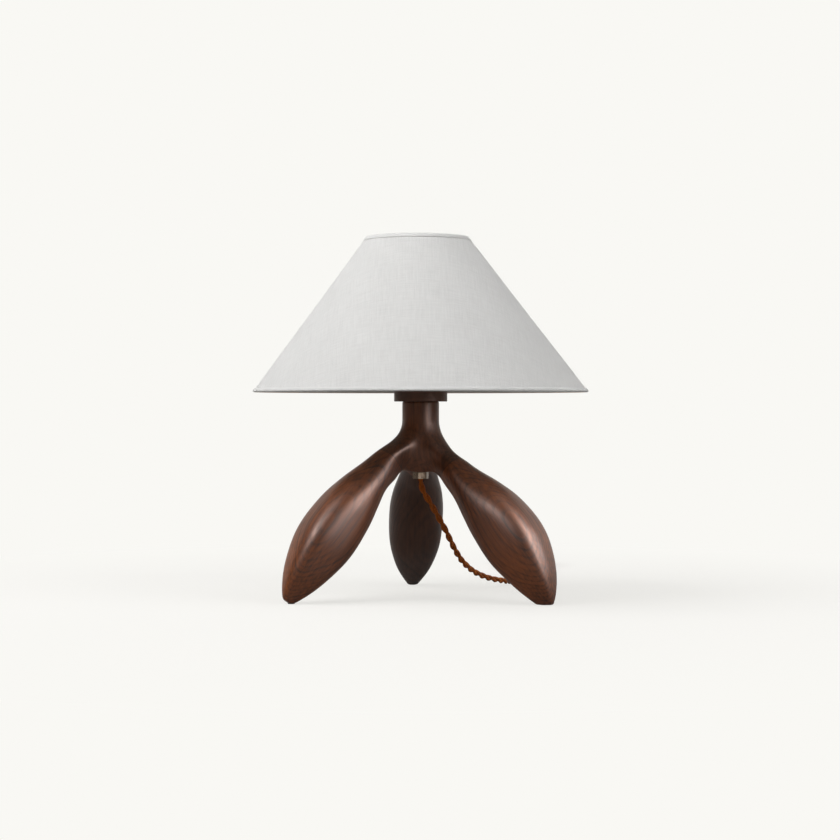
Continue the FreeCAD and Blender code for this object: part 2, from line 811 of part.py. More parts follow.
def hoop(low):
    """A ring of square wire just inside the shade, cut to the shade's own slope."""
    inset = ring_inset()
    outer = oblique_cone(inset, inset, low, low + shade_wire)
    inner = oblique_cone(inset + shade_wire, inset + shade_wire, low - overrun,
                         low + shade_wire + overrun)
    return outer.cut(inner)


def spider():
    """A small hub ring with wires that rise to the top ring."""
    hub = tube(spider_hub_radius, spider_hub_bore_radius, spider_hub_thickness,
               up * spider_height)
    start_height = spider_height + spider_hub_thickness / 2
    end_height = shade_top_height - shade_wire / 2
    end_radius = shade_top_radius - ring_inset() - shade_wire / 2
    bore = cylinder(spider_hub_bore_radius, 4 * spider_hub_thickness,
                    up * (spider_height - spider_hub_thickness))
    arms = []
    for index in range(spider_arm_count):
        angle = math.radians(spider_first_turn + 360 / spider_arm_count * index)
        way = Vector(math.cos(angle), math.sin(angle), 0)
        start = way * (spider_hub_radius - spider_wire_radius) + up * start_height
        end = way * end_radius + Vector(shade_top_shift, 0, end_height)
        run = end - start
        arms.append(cylinder(spider_wire_radius, run.Length, start, run))
    inset = ring_inset() + shade_wire
    inside = oblique_cone(inset, inset, spider_height, shade_top_height)
    return hub.fuse(arms).cut(bore).common(inside)


def finial():
    """A turned cap nut: a foot, a waist and a ball."""
    foot = finial_foot_height
    centre = foot + finial_height - finial_ball_radius
    waist = foot + finial_base_height
    join = math.radians(50)
    low = Vector(finial_ball_radius * math.cos(join), 0,
                 centre - finial_ball_radius * math.sin(join))
    side = Vector(finial_ball_radius, 0, centre)
    top = Vector(0, 0, centre + finial_ball_radius)
    neck = Vector(finial_neck_radius, 0, waist + finial_base_height / 3)
    lean = math.radians(45)
    high = Vector(finial_ball_radius * math.cos(lean), 0,
                  centre + finial_ball_radius * math.sin(lean))
    edges = [
        Part.Arc(top, high, side).toShape(),
        arc_from_tangent(side, Vector(0, 0, -1), low),
        Part.makeLine(low, neck),
        Part.makeLine(neck, Vector(finial_base_radius, 0, waist)),
        Part.makeLine(Vector(finial_base_radius, 0, waist),
                      Vector(finial_base_radius, 0, foot)),
        Part.makeLine(Vector(finial_base_radius, 0, foot), up * foot),
        Part.makeLine(up * foot, top),
    ]
    hole = cylinder(stud_radius + slip, finial_thread_depth + overrun, up * (foot - overrun))
    return spun(edges).cut(hole)


def cord_outline(start, direction):
    return polygon_ring(cord_sides, cord_radius, start, direction)


def cord_run(route, label):
    path = rounded_path(route, label)
    start = Vector(*route[0])
    way = Vector(*route[1]) - start
    way.normalize()
    solid = sweep(cord_outline(start, way), path)
    section = Part.Face(cord_outline(start, way)).Area
    print(label, "length", round(path.Length, 1), "volume share",
          round(solid.Volume / (section * path.Length), 4))
    return solid


def coil_place(turns):
    """A point of the put-away coil's line, a number of turns after its start."""
    ends = [sum(coil_layer_turns[:count + 1]) for count in range(len(coil_layer_turns))]
    radius = coil_outer_radius
    height = coil_base_height
    way = -1
    before = 0.0
    for index, end in enumerate(ends):
        part = max(0.0, min(turns, end) - before)
        radius += way * coil_pitch * part
        before = end
        way = -way
        if index == len(ends) - 1:
            break
        off = turns - end
        half = coil_climb_turns / 2
        if abs(off) < half:
            # the spiral turns round smoothly, and climbs one layer, in this half turn
            radius += way * coil_pitch * (off * off / (2 * half) + half / 2 - abs(off))
            height += coil_pitch * (1 + math.sin(math.pi * off / coil_climb_turns)) / 2
        elif off >= half:
            height += coil_pitch
    angle = math.pi - 2 * math.pi * turns
    return Vector(coil_centre_x + radius * math.cos(angle),
                  coil_centre_y + radius * math.sin(angle), height)


def coil_way(turns):
    step = 1 / 4096
    way = coil_place(turns + step) - coil_place(turns - step)
    way.normalize()
    return way


def coil_gap(points):
    """The least gap between turns, measured on points of the coil's line."""
    least = math.inf
    apart = coil_samples_per_turn // 2
    for index, here in enumerate(points):
        for other in points[index + apart:]:
            least = min(least, here.distanceToPoint(other))
    return least - cord_diameter


def cord_coil():
    total = sum(coil_layer_turns)
    count = round(total * coil_stations_per_turn)
    places = [total * index / count for index in range(count + 1)]
    first = coil_place(0.0)
    first_way = Vector(0, 1, 0)
    lead = first - first_way * cord_diameter
    edges = [Part.makeLine(lead, first)]
    ways = [first_way] + [coil_way(place) for place in places[1:-1]] + [Vector(0, -1, 0)]
    for a, b, way_a, way_b in zip(places, places[1:], ways, ways[1:]):
        edges += biarc(coil_place(a), way_a, coil_place(b), way_b)
    last = coil_place(total)
    edges.append(Part.makeLine(last, last + Vector(0, -1, 0) * cord_diameter))
    path = Part.Wire(edges)
    solid = sweep(cord_outline(lead, first_way), path)
    samples = round(total * coil_samples_per_turn)
    points = [coil_place(total * index / samples) for index in range(samples + 1)]
    section = Part.Face(cord_outline(lead, first_way)).Area
    print("coil length", round(path.Length, 1), "least gap", round(coil_gap(points), 2),
          "volume share", round(solid.Volume / (section * path.Length), 4),
          "ends", [round(c, 1) for c in lead], [round(c, 1) for c in path.Vertexes[-1].Point])
    return solid


def cord_tie():
    """A flat band round the coil's bundle of turns at one place."""
    turns = sum(coil_layer_turns)
    samples = round(turns * coil_samples_per_turn)
    points = [coil_place(turns * index / samples) for index in range(samples + 1)]
    centre = Vector(coil_centre_x, coil_centre_y, 0)
    reach = [Vector(p.x, p.y, 0).distanceToPoint(centre) for p in points]
    inner = min(reach) - cord_radius - fit_gap - tie_thickness
    outer = max(reach) + cord_radius + fit_gap + tie_thickness
    top = max(p.z for p in points) + cord_radius + fit_gap + tie_thickness
    band = Part.makeBox(outer - inner, tie_width, top, Vector(inner, -tie_width / 2, 0))
    edges = [edge for edge in band.Edges
             if abs(edge.Vertexes[0].Y - edge.Vertexes[1].Y) > tie_width / 2]
    band = band.makeFillet(min(tie_rounding, cord_radius), edges)
    hole = Part.makeBox(outer - inner - 2 * tie_thickness, tie_width + 2 * overrun,
                        top - 2 * tie_thickness,
                        Vector(inner + tie_thickness, -tie_width / 2 - overrun, tie_thickness))
    edges = [edge for edge in hole.Edges
             if abs(edge.Vertexes[0].Y - edge.Vertexes[1].Y) > tie_width / 2]
    inside = min(tie_rounding, cord_radius) - tie_thickness
    band = band.cut(hole.makeFillet(inside, edges))
    band.rotate(origin, up, tie_turn)
    band.translate(centre)
    return band


def beside_coil(turns, run):
    """A point in line with the coil's end, a run before it on the -Y side."""
    end = coil_place(turns) - Vector(0, cord_diameter + run, 0)
    return tuple(end)


def whole_stretch():
    fall = tuple((x, y, share * exit_height) for x, y, share in fall_route_shares)
    return fall + floor_route + (beside_coil(0.0, coil_lead), beside_coil(0.0, 0.0))


def whole_tail():
    turns = sum(coil_layer_turns)
    return (beside_coil(turns, 0.0), beside_coil(turns, tail_lead)) + tail_route


def plug_frame():
    """Where the plug starts on the cord, and the level way that it points."""
    start = Vector(*tail_route[-1])
    way = start - Vector(*tail_route[-2])
    level = Vector(way.x, way.y, 0)
    level.normalize()
    return start, level


def placed_on_plug(shape):
    """Turns a shape drawn along +X to the plug's place and way."""
    start, level = plug_frame()
    shape.rotate(origin, up, math.degrees(math.atan2(level.y, level.x)))
    shape.translate(start)
    return shape


def plug_body():
    neck = Part.makeCone(plug_neck_radius, plug_root_radius, plug_neck_length, origin,
                         Vector(1, 0, 0))
    middle = Vector(plug_neck_length + plug_body_length / 2, 0, 0)
    body = block(plug_body_length, plug_body_width, plug_body_height, middle)
    body = body.makeFillet(plug_edge, body.Edges)
    solid = body.fuse(neck)
    for side in (-1, 1):
        slot = blade(side)
        solid = solid.cut(slot)
    return placed_on_plug(solid)


def blade(side):
    start = plug_neck_length + plug_body_length - blade_root
    length = blade_root + blade_length
    corner = Vector(start, side * blade_spacing / 2 - blade_thickness / 2, -blade_height / 2)
    solid = Part.makeBox(length, blade_thickness, blade_height, corner)
    tips = [edge for edge in solid.Edges
            if edge.CenterOfMass.x > start + length - blade_end_easing / 2
            and edge.Length < blade_thickness * 1.5]
    return solid.makeChamfer(blade_end_easing, tips)


def plug_blades():
    return placed_on_plug(Part.makeCompound([blade(-1), blade(1)]))


def inner_cord():
    """The lead inside the pipe, from the exit up into the lampholder."""
    length = body_foot_height - exit_height
    return cylinder(cord_radius, length, up * exit_height)


def cord_bushing():
    inner = cord_radius + slip
    return tube(inner + bushing_wall, inner, bushing_height, up * exit_height)


switch_height = body_foot_height + switch_share * body_height
terminal_height = body_foot_height + terminal_share * body_height
carved_legs = {name: Leg(hand) for name, hand in legs.items()}

nodes = {}
nodes["hub"] = carved_hub()
for name, leg in carved_legs.items():
    nodes["leg_" + name], nodes["foot_pad_" + name] = carved_leg(leg)
nodes["leg_dowels"] = Part.makeCompound([dowel(leg) for leg in carved_legs.values()])
nodes["collar"] = collar()

nodes["lamp_pipe"] = tube(pipe_radius, pipe_bore_radius, pipe_top_height - pipe_foot_height,
                          up * pipe_foot_height)
nodes["bottom_washer"] = tube(bottom_washer_radius, pipe_radius + fit_gap,
                              bottom_washer_thickness, up * hub_foot_height)
nodes["bottom_nut"] = hex_nut(bottom_nut_flats, bottom_nut_height, up * exit_height,
                              pipe_radius, nut_easing, bottom_nut_turn)
nodes["cord_bushing"] = cord_bushing()
nodes["inner_cord"] = inner_cord()
nodes["saddle_washer"] = tube(saddle_washer_radius, pipe_radius + fit_gap,
                              saddle_washer_thickness, up * saddle_top_height)
nodes["lock_nut"] = hex_nut(lock_nut_flats, lock_nut_height, up * saddle_washer_top_height,
                            pipe_radius, nut_easing, lock_nut_turn)

nodes["harp_saddle"] = harp_saddle()
nodes["harp"] = harp()
nodes["harp_sleeve_left"] = harp_sleeve(-1)
nodes["harp_sleeve_right"] = harp_sleeve(1)

nodes["socket_cap"] = socket_cap()
nodes["socket_shell"] = socket_shell()
nodes["socket_liner"] = socket_liner()
nodes["socket_body"] = socket_body()
nodes["socket_screw_shell"] = screw_shell()
nodes["socket_contact"] = cylinder(contact_radius, contact_thickness, up * body_top_height)
nodes["terminal_screws"] = Part.makeCompound([terminal(-1), terminal(1)])
nodes["switch_shaft"] = switch_shaft()
nodes["switch_knob"] = switch_knob()

nodes["bulb_glass"] = bulb_glass()
nodes["bulb_screw_cap"] = bulb_cap()
nodes["bulb_insulator"] = bulb_insulator()
nodes["bulb_contact"] = cylinder(bulb_tip_radius, bulb_tip_height, up * contact_top_height)

nodes["shade_linen"] = cone_layer(0, linen_thickness, shade_bottom_height, shade_top_height)
nodes["shade_liner"] = cone_layer(linen_thickness + glue_gap, liner_thickness,
                                  shade_bottom_height, shade_top_height)
nodes["shade_hem_bottom"] = cone_layer(-hem_thickness - glue_gap, hem_thickness,
                                       shade_bottom_height, shade_bottom_height + hem_width)
nodes["shade_hem_top"] = cone_layer(-hem_thickness - glue_gap, hem_thickness,
                                    shade_top_height - hem_width, shade_top_height)
nodes["shade_bottom_ring"] = hoop(shade_bottom_height)
nodes["shade_top_ring"] = hoop(shade_top_height - shade_wire)
nodes["shade_spider"] = spider()
nodes["finial"] = finial()

nodes["cord_stretch"] = cord_run(whole_stretch(), "stretch")
nodes["cord_coil"] = cord_coil()
nodes["cord_tail"] = cord_run(whole_tail(), "tail")
nodes["cord_tie"] = cord_tie()
nodes["plug_body"] = plug_body()
nodes["plug_blades"] = plug_blades()

os.makedirs("parts", exist_ok=True)
for name, shape in nodes.items():
    if not shape.isValid():
        print("not valid:", name)
    shape.exportStep(os.path.join("parts", name + ".step"))
print(len(nodes), "nodes")
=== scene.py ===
import math

import bmesh
import bpy
import numpy as np
from mathutils import Matrix, Vector


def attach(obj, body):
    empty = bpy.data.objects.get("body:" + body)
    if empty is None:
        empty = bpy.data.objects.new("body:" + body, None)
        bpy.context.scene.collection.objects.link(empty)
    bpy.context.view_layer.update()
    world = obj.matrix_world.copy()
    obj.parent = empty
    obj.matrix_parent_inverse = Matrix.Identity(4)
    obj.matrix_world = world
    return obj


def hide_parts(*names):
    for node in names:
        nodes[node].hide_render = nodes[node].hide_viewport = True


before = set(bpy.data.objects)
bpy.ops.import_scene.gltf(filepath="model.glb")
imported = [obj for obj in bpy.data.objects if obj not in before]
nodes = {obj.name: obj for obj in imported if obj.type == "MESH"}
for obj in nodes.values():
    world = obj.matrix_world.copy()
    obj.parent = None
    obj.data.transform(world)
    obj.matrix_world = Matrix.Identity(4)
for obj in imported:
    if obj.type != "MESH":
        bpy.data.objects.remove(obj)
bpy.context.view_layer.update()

# Table lamp: carved three-legged base, cone shade on a harp, twisted lead with its plug.
# Metres, in the CAD model's frame.


# ------------------------ camera, light and floor

paper_white = (0.947, 0.939, 0.905, 1.0)
paper_tones = ((0.42, 0.415, 0.405, 1), (0.44, 0.435, 0.425, 1))
floor_drop = 0.0002          # how far the floor lies under the feet
floor_lift = 0.735           # how much of paper white the floor adds where it is seen
floor_paper_share = 0.68     # how much of its lit paper is seen under that
floor_mirror_share = 0.2     # how much of what is seen the glossy surfaces reflect
floor_fade = (0.32, 0.9)     # metres off, from lit paper to plain paper white
wall_glow = 0.02             # what the walls shine all round
back_wall_glow = 0.3         # and what the one behind the lamp adds
lamp_middle = Vector((0, 0, 0.15))


def placed(name, data):
    thing = bpy.data.objects.new(name, data)
    bpy.context.scene.collection.objects.link(thing)
    return thing


def studio_camera():
    """Looks level at the lamp from where the photo's own camera stood."""
    lens = bpy.data.cameras.new("studio_camera")
    lens.lens = 84.99
    lens.sensor_width = 36
    lens.shift_x = -0.0008
    lens.shift_y = -0.0169
    lens.clip_start = 0.05
    lens.clip_end = 60
    camera = placed("studio_camera", lens)
    camera.location = (0, -2.372, 0.2289)
    camera.rotation_euler = (math.radians(90), 0, 0)
    bpy.context.scene.camera = camera


def softbox(name, turn, rise, reach, width, height, power, part):
    """A lit panel aimed at the lamp: degrees right of the camera, degrees up and metres off.

    Its size is in metres and its power in watts. A "fill" doesn't show in reflections, and a
    "sheen" shows only there.
    """
    light = bpy.data.lights.new(name, "AREA")
    light.shape = "RECTANGLE"
    light.size = width
    light.size_y = height
    light.energy = power
    box = placed(name, light)
    turn, rise = math.radians(turn), math.radians(rise)
    way = Vector((math.sin(turn) * math.cos(rise), -math.cos(turn) * math.cos(rise),
                  math.sin(rise)))
    box.location = lamp_middle + way * reach
    box.rotation_euler = (-way).to_track_quat("-Z", "Y").to_euler()
    box.visible_glossy = part != "fill"
    box.visible_diffuse = part != "sheen"


def studio_lights():
    """Broad fills light the surfaces, and strips give the satin highlights on the wood."""
    softbox("left_fill", -70, 48, 2.6, 2.0, 1.6, 47, "fill")
    softbox("right_fill", 56, 38, 2.0, 1.0, 1.2, 11, "fill")
    softbox("top_fill", 0, 80, 2.4, 1.6, 1.6, 10, "fill")
    softbox("right_strip", 48, 22, 1.9, 0.8, 1.3, 66, "sheen")
    softbox("high_strip", 52, 44, 1.7, 0.6, 0.6, 24, "sheen")
    softbox("right_side_strip", 86, 22, 1.9, 0.6, 0.8, 28, "sheen")
    softbox("left_strip", -46, 36, 2.2, 0.9, 0.9, 54, "sheen")


# ------------------------ shader helpers


def put(tree, kind, sockets=None, **settings):
    """Adds a shader node; a socket's value is a number, a colour or another socket."""
    node = tree.nodes.new(kind)
    for key, value in settings.items():
        setattr(node, key, value)
    for key, value in (sockets or {}).items():
        if isinstance(value, bpy.types.NodeSocket):
            tree.links.new(value, node.inputs[key])
        else:
            node.inputs[key].default_value = value
    return node


def maths(tree, operation, *values):
    return put(tree, "ShaderNodeMath", dict(enumerate(values)), operation=operation).outputs[0]


def plus(tree, base, value, share):
    """The base and a share of the value."""
    return maths(tree, "ADD", base, maths(tree, "MULTIPLY", value, share))


def clamped(tree, value):
    return maths(tree, "MAXIMUM", maths(tree, "MINIMUM", value, 1.0), 0.0)


def wave(tree, turns):
    """A sine that runs from 0 to 1, once in each turn."""
    sine = maths(tree, "SINE", maths(tree, "MULTIPLY", turns, math.tau))
    return maths(tree, "ADD", maths(tree, "MULTIPLY", sine, 0.5), 0.5)


def mixed(tree, share, first, second):
    return put(tree, "ShaderNodeMix", {0: share, 6: first, 7: second},
               data_type="RGBA").outputs[2]


def crossed(tree, share, first, second):
    return put(tree, "ShaderNodeMix", {0: share, 2: first, 3: second},
               data_type="FLOAT").outputs[0]


def spread(tree, value, low, high, to_low=0.0, to_high=1.0, kind="SMOOTHSTEP"):
    node = put(tree, "ShaderNodeMapRange",
               {"Value": value, "From Min": low, "From Max": high, "To Min": to_low,
                "To Max": to_high}, interpolation_type=kind)
    return node.outputs["Result"]


def noise(tree, place, scale, detail=2.0, roughness=0.5, distortion=0.0):
    node = put(tree, "ShaderNodeTexNoise",
               {"Vector": place, "Scale": scale, "Detail": detail, "Roughness": roughness,
                "Distortion": distortion})
    return node.outputs[0]


def stretched(tree, place, x, y, z):
    return put(tree, "ShaderNodeVectorMath", {0: place, 1: (x, y, z)},
               operation="MULTIPLY").outputs[0]


def shifted(tree, place, by, operation="ADD"):
    return put(tree, "ShaderNodeVectorMath", {0: place, 1: by}, operation=operation).outputs[0]


def length_of(tree, place):
    return put(tree, "ShaderNodeVectorMath", {0: place}, operation="LENGTH").outputs["Value"]


def shader_group(name, inputs, outputs):
    """A shared effect: its tree, the sockets that it is given and those that it makes."""
    group = bpy.data.node_groups.new(name, "ShaderNodeTree")
    for label, kind, value in inputs:
        socket = group.interface.new_socket(label, in_out="INPUT", socket_type=kind)
        if value is not None:
            socket.default_value = value
    for label, kind in outputs:
        group.interface.new_socket(label, in_out="OUTPUT", socket_type=kind)
    start = group.nodes.new("NodeGroupInput")
    end = group.nodes.new("NodeGroupOutput")
    return group, start.outputs, end.inputs


def give_out(tree, made, **results):
    for label, result in results.items():
        tree.links.new(result, made[label])


def grouped(tree, group, **sockets):
    node = tree.nodes.new("ShaderNodeGroup")
    node.node_tree = group
    for key, value in sockets.items():
        label = key.replace("_", " ")
        if isinstance(value, bpy.types.NodeSocket):
            tree.links.new(value, node.inputs[label])
        else:
            node.inputs[label].default_value = value
    return node.outputs


number, colour, vector = "NodeSocketFloat", "NodeSocketColor", "NodeSocketVector"


# ------------------------ shared effects


def make_carved_grain():
    """Wood: yearly rings round a pith line along Z, fine pores, and slow changes of tone."""
    tree, given, made = shader_group(
        "carved grain",
        [("Place", vector, None), ("Pith", vector, (0, 0, 0)), ("Turn", vector, (0, 0, 0)),
         ("Ring Spacing", number, 0.0035), ("Ring Strength", number, 1.0),
         ("Dark", colour, (0.016, 0.007, 0.004, 1)), ("Light", colour, (0.1, 0.045, 0.022, 1))],
        [("Colour", colour), ("Rings", number), ("Height", number)])
    grain = put(tree, "ShaderNodeMapping", {"Vector": given["Place"], "Location": given["Pith"],
                                            "Rotation": given["Turn"]}, vector_type="TEXTURE")
    grain = grain.outputs[0]
    slow = put(tree, "ShaderNodeTexNoise", {"Vector": stretched(tree, grain, 1, 1, 0.35),
                                            "Scale": 22.0, "Detail": 2.0})
    sway = shifted(tree, slow.outputs["Color"], (0.5, 0.5, 0.5), "SUBTRACT")
    bent = shifted(tree, grain, stretched(tree, sway, 0.006, 0.006, 0.0))
    across = length_of(tree, stretched(tree, bent, 1, 1, 0))
    # each year: pale early wood, then a dark late band that ends sharply
    turns = maths(tree, "DIVIDE", across, given["Ring Spacing"])
    share = maths(tree, "FRACT", turns)
    year = put(tree, "ShaderNodeTexWhiteNoise", {"W": maths(tree, "FLOOR", turns)},
               noise_dimensions="1D").outputs["Value"]
    late = maths(tree, "MULTIPLY", spread(tree, share, 0.4, 0.84),
                 spread(tree, share, 0.88, 1.0, 1.0, 0.0))
    late = maths(tree, "MULTIPLY", late, spread(tree, year, 0.0, 1.0, 0.35, 1.0, "LINEAR"))
    late = maths(tree, "MULTIPLY", late, given["Ring Strength"])
    # what runs along the grain: short dark pores and longer streaks
    pores = noise(tree, stretched(tree, bent, 1, 1, 0.05), 900.0, 2.0, 0.6)
    pores = spread(tree, pores, 0.6, 0.72)
    streaks = noise(tree, stretched(tree, bent, 1, 1, 0.03), 330.0, 3.0, 0.6)
    patches = noise(tree, stretched(tree, grain, 1, 1, 0.4), 28.0, 2.0)
    tone = spread(tree, streaks, 0.34, 0.66, 0.0, 0.44, "LINEAR")
    tone = maths(tree, "ADD", tone, spread(tree, patches, 0.3, 0.7, 0.0, 0.32))
    tone = clamped(tree, maths(tree, "ADD", plus(tree, tone, late, -0.34), 0.28))
    tint = mixed(tree, tone, given["Dark"], given["Light"])
    tint = mixed(tree, maths(tree, "MULTIPLY", pores, 0.35), tint, given["Dark"])
    height = maths(tree, "SUBTRACT", maths(tree, "MULTIPLY", streaks, 0.3), pores)
    give_out(tree, made, Colour=tint, Rings=late, Height=height)
    return tree


def make_handling_wear():
    """Smudges and hair scratches that a wiped, handled surface has."""
    tree, given, made = shader_group(
        "handling wear",
        [("Place", vector, None), ("Size", number, 1.0), ("Amount", number, 1.0)],
        [("Smudge", number), ("Height", number)])
    place = put(tree, "ShaderNodeVectorMath", {0: given["Place"], "Scale": given["Size"]},
                operation="SCALE").outputs[0]
    smudge = noise(tree, place, 34.0, 4.0, 0.62, 0.4)
    smudge = maths(tree, "MULTIPLY", spread(tree, smudge, 0.35, 0.72), given["Amount"])
    turned = put(tree, "ShaderNodeMapping", {"Vector": place, "Rotation": (0.5, 0.9, 0.3),
                                             "Scale": (1.0, 0.04, 1.0)}).outputs[0]
    hair = noise(tree, turned, 700.0, 1.0)
    hair = maths(tree, "MULTIPLY", spread(tree, hair, 0.66, 0.74), given["Amount"])
    grit = noise(tree, place, 1800.0, 2.0)
    height = maths(tree, "SUBTRACT", maths(tree, "MULTIPLY", grit, 0.4), hair)
    give_out(tree, made, Smudge=smudge, Height=height)
    return tree


def make_linen_threads():
    """Plain weave of uneven threads, X across and Y along the cloth, in metres."""
    tree, given, made = shader_group(
        "linen threads",
        [("Place", vector, None), ("Thread", number, 0.00062), ("Slubs", number, 1.0),
         ("Pale", colour, (0.84, 0.835, 0.81, 1)), ("Deep", colour, (0.7, 0.69, 0.66, 1))],
        [("Colour", colour), ("Height", number)])
    place = given["Place"]
    drift = noise(tree, stretched(tree, place, 1, 1, 0), 60.0, 2.0)
    drift = maths(tree, "MULTIPLY", maths(tree, "SUBTRACT", drift, 0.5), 0.0012)
    drift = put(tree, "ShaderNodeCombineXYZ", {"X": drift, "Y": drift}).outputs[0]
    place = shifted(tree, place, drift)
    parts = put(tree, "ShaderNodeSeparateXYZ", {"Vector": place}).outputs
    warp, weft = (maths(tree, "DIVIDE", parts[way], given["Thread"]) for way in ("X", "Y"))
    over = maths(tree, "MULTIPLY", maths(tree, "ADD", warp, weft), math.pi)
    over = spread(tree, maths(tree, "SINE", over), -0.6, 0.6)
    weave = crossed(tree, over, wave(tree, warp), wave(tree, weft))
    # slubs: thick and thin stretches of single threads, up the cloth and across it
    upright = noise(tree, stretched(tree, place, 640, 34, 0), 1.0, 3.0, 0.65)
    level = noise(tree, stretched(tree, place, 38, 600, 0), 1.0, 3.0, 0.65)
    upright = spread(tree, upright, 0.32, 0.68, -1.0, 1.0, "LINEAR")
    level = spread(tree, level, 0.32, 0.68, -0.8, 0.8, "LINEAR")
    slubs = maths(tree, "MULTIPLY", maths(tree, "ADD", upright, level), given["Slubs"])
    cloud = noise(tree, stretched(tree, place, 1, 1, 0), 14.0, 3.0)
    tone = plus(tree, maths(tree, "MULTIPLY", weave, 0.25), slubs, 0.26)
    tone = clamped(tree, maths(tree, "ADD", plus(tree, tone, cloud, 0.5), 0.2))
    tint = mixed(tree, tone, given["Deep"], given["Pale"])
    give_out(tree, made, Colour=tint, Height=plus(tree, weave, slubs, 0.7))
    return tree


carved_grain = make_carved_grain()
handling_wear = make_handling_wear()
linen_threads = make_linen_threads()


# ------------------------ materials


def material(name):
    made = bpy.data.materials.new(name)
    made.use_nodes = True
    made.node_tree.nodes.clear()
    return made, made.node_tree


def finished(tree, surface):
    put(tree, "ShaderNodeOutputMaterial", {"Surface": surface})


def surfaced(tree, sockets):
    """Gives a material its one Principled surface."""
    finished(tree, put(tree, "ShaderNodeBsdfPrincipled", sockets).outputs[0])


def place_on(tree, label="Object"):
    return tree.nodes.new("ShaderNodeTexCoord").outputs[label]


def bumped(tree, height, strength, distance):
    return put(tree, "ShaderNodeBump", {"Height": height, "Strength": strength,
                                        "Distance": distance}).outputs[0]


walnut_light = (0.29, 0.078, 0.0155, 1)
walnut_dark = (0.014, 0.0044, 0.002, 1)
glue_dark = (0.012, 0.006, 0.004, 1)
glue_line = 0.0006           # how far off its plane a glue line fades out


def walnut(name, pith, turn, spacing, strength=1.0, light=walnut_light, dark=walnut_dark,
           seams=()):
    """Oiled dark walnut; a seam is a point and a way, where a thin glue line shows."""
    made, tree = material(name)
    place = place_on(tree)
    grain = grouped(tree, carved_grain, Place=place, Pith=pith, Turn=turn, Ring_Spacing=spacing,
                    Ring_Strength=strength, Dark=dark, Light=light)
    wear = grouped(tree, handling_wear, Place=place)
    tint = grain["Colour"]
    for point, way in seams:
        off = put(tree, "ShaderNodeVectorMath", {0: shifted(tree, place, point, "SUBTRACT"),
                                                 1: way}, operation="DOT_PRODUCT")
        off = maths(tree, "ABSOLUTE", off.outputs["Value"])
        tint = mixed(tree, spread(tree, off, 0.0, glue_line, 0.6, 0.0), tint, glue_dark)
    rough = plus(tree, plus(tree, 0.39, wear["Smudge"], 0.05), grain["Rings"], 0.05)
    height = plus(tree, grain["Height"], wear["Height"], 0.3)
    surfaced(tree, {"Base Color": tint, "Roughness": rough, "Specular IOR Level": 0.5,
                    "Specular Tint": (1.0, 0.82, 0.77, 1),
                    "Normal": bumped(tree, height, 0.2, 0.0003)})
    return made


def metal(name, tint, deep, roughness, brushed=(1, 1, 1)):
    """Plated or bare metal, with drawn lines along one way, smudges and hair scratches."""
    made, tree = material(name)
    place = place_on(tree)
    wear = grouped(tree, handling_wear, Place=place, Size=2.5)
    lines = noise(tree, stretched(tree, place, *brushed), 900.0, 3.0, 0.6)
    shade = mixed(tree, maths(tree, "MULTIPLY", wear["Smudge"], 0.6), tint, deep)
    shade = mixed(tree, spread(tree, lines, 0.35, 0.7, 0.0, 0.35), shade, deep)
    rough = plus(tree, plus(tree, roughness, wear["Smudge"], 0.14), lines, 0.06)
    height = plus(tree, wear["Height"], lines, 0.6)
    surfaced(tree, {"Base Color": shade, "Roughness": rough, "Metallic": 1.0,
                    "Normal": bumped(tree, height, 0.1, 0.00008)})
    return made


def moulded(name, tint, deep, roughness, coat=0.0):
    """Moulded plastic: a faint orange peel, smudges and scratches."""
    made, tree = material(name)
    place = place_on(tree)
    wear = grouped(tree, handling_wear, Place=place, Size=2.0)
    peel = noise(tree, place, 420.0, 2.0)
    cloud = noise(tree, place, 60.0, 3.0)
    shade = mixed(tree, spread(tree, cloud, 0.3, 0.7), tint, deep)
    rough = plus(tree, roughness, wear["Smudge"], 0.12)
    height = plus(tree, peel, wear["Height"], 0.3)
    surfaced(tree, {"Base Color": shade, "Roughness": rough, "Coat Weight": coat,
                    "Normal": bumped(tree, height, 0.12, 0.0002)})
    return made


def cloth(name, pale, deep, thread, slubs, strength):
    """Plain-woven cloth, laid along its piece's own flat cut."""
    made, tree = material(name)
    weave = grouped(tree, linen_threads, Place=place_on(tree, "UV"), Thread=thread, Slubs=slubs,
                    Pale=pale, Deep=deep)
    surfaced(tree, {"Base Color": weave["Colour"], "Roughness": 0.86, "Specular IOR Level": 0.12,
                    "Sheen Weight": 0.12, "Sheen Roughness": 0.5,
                    "Normal": bumped(tree, weave["Height"], strength, 0.0002)})
    return made


yarns_round = 6.0            # slanting yarns round a strand, each way
yarns_along = 520.0          # and those that a metre of its length crosses


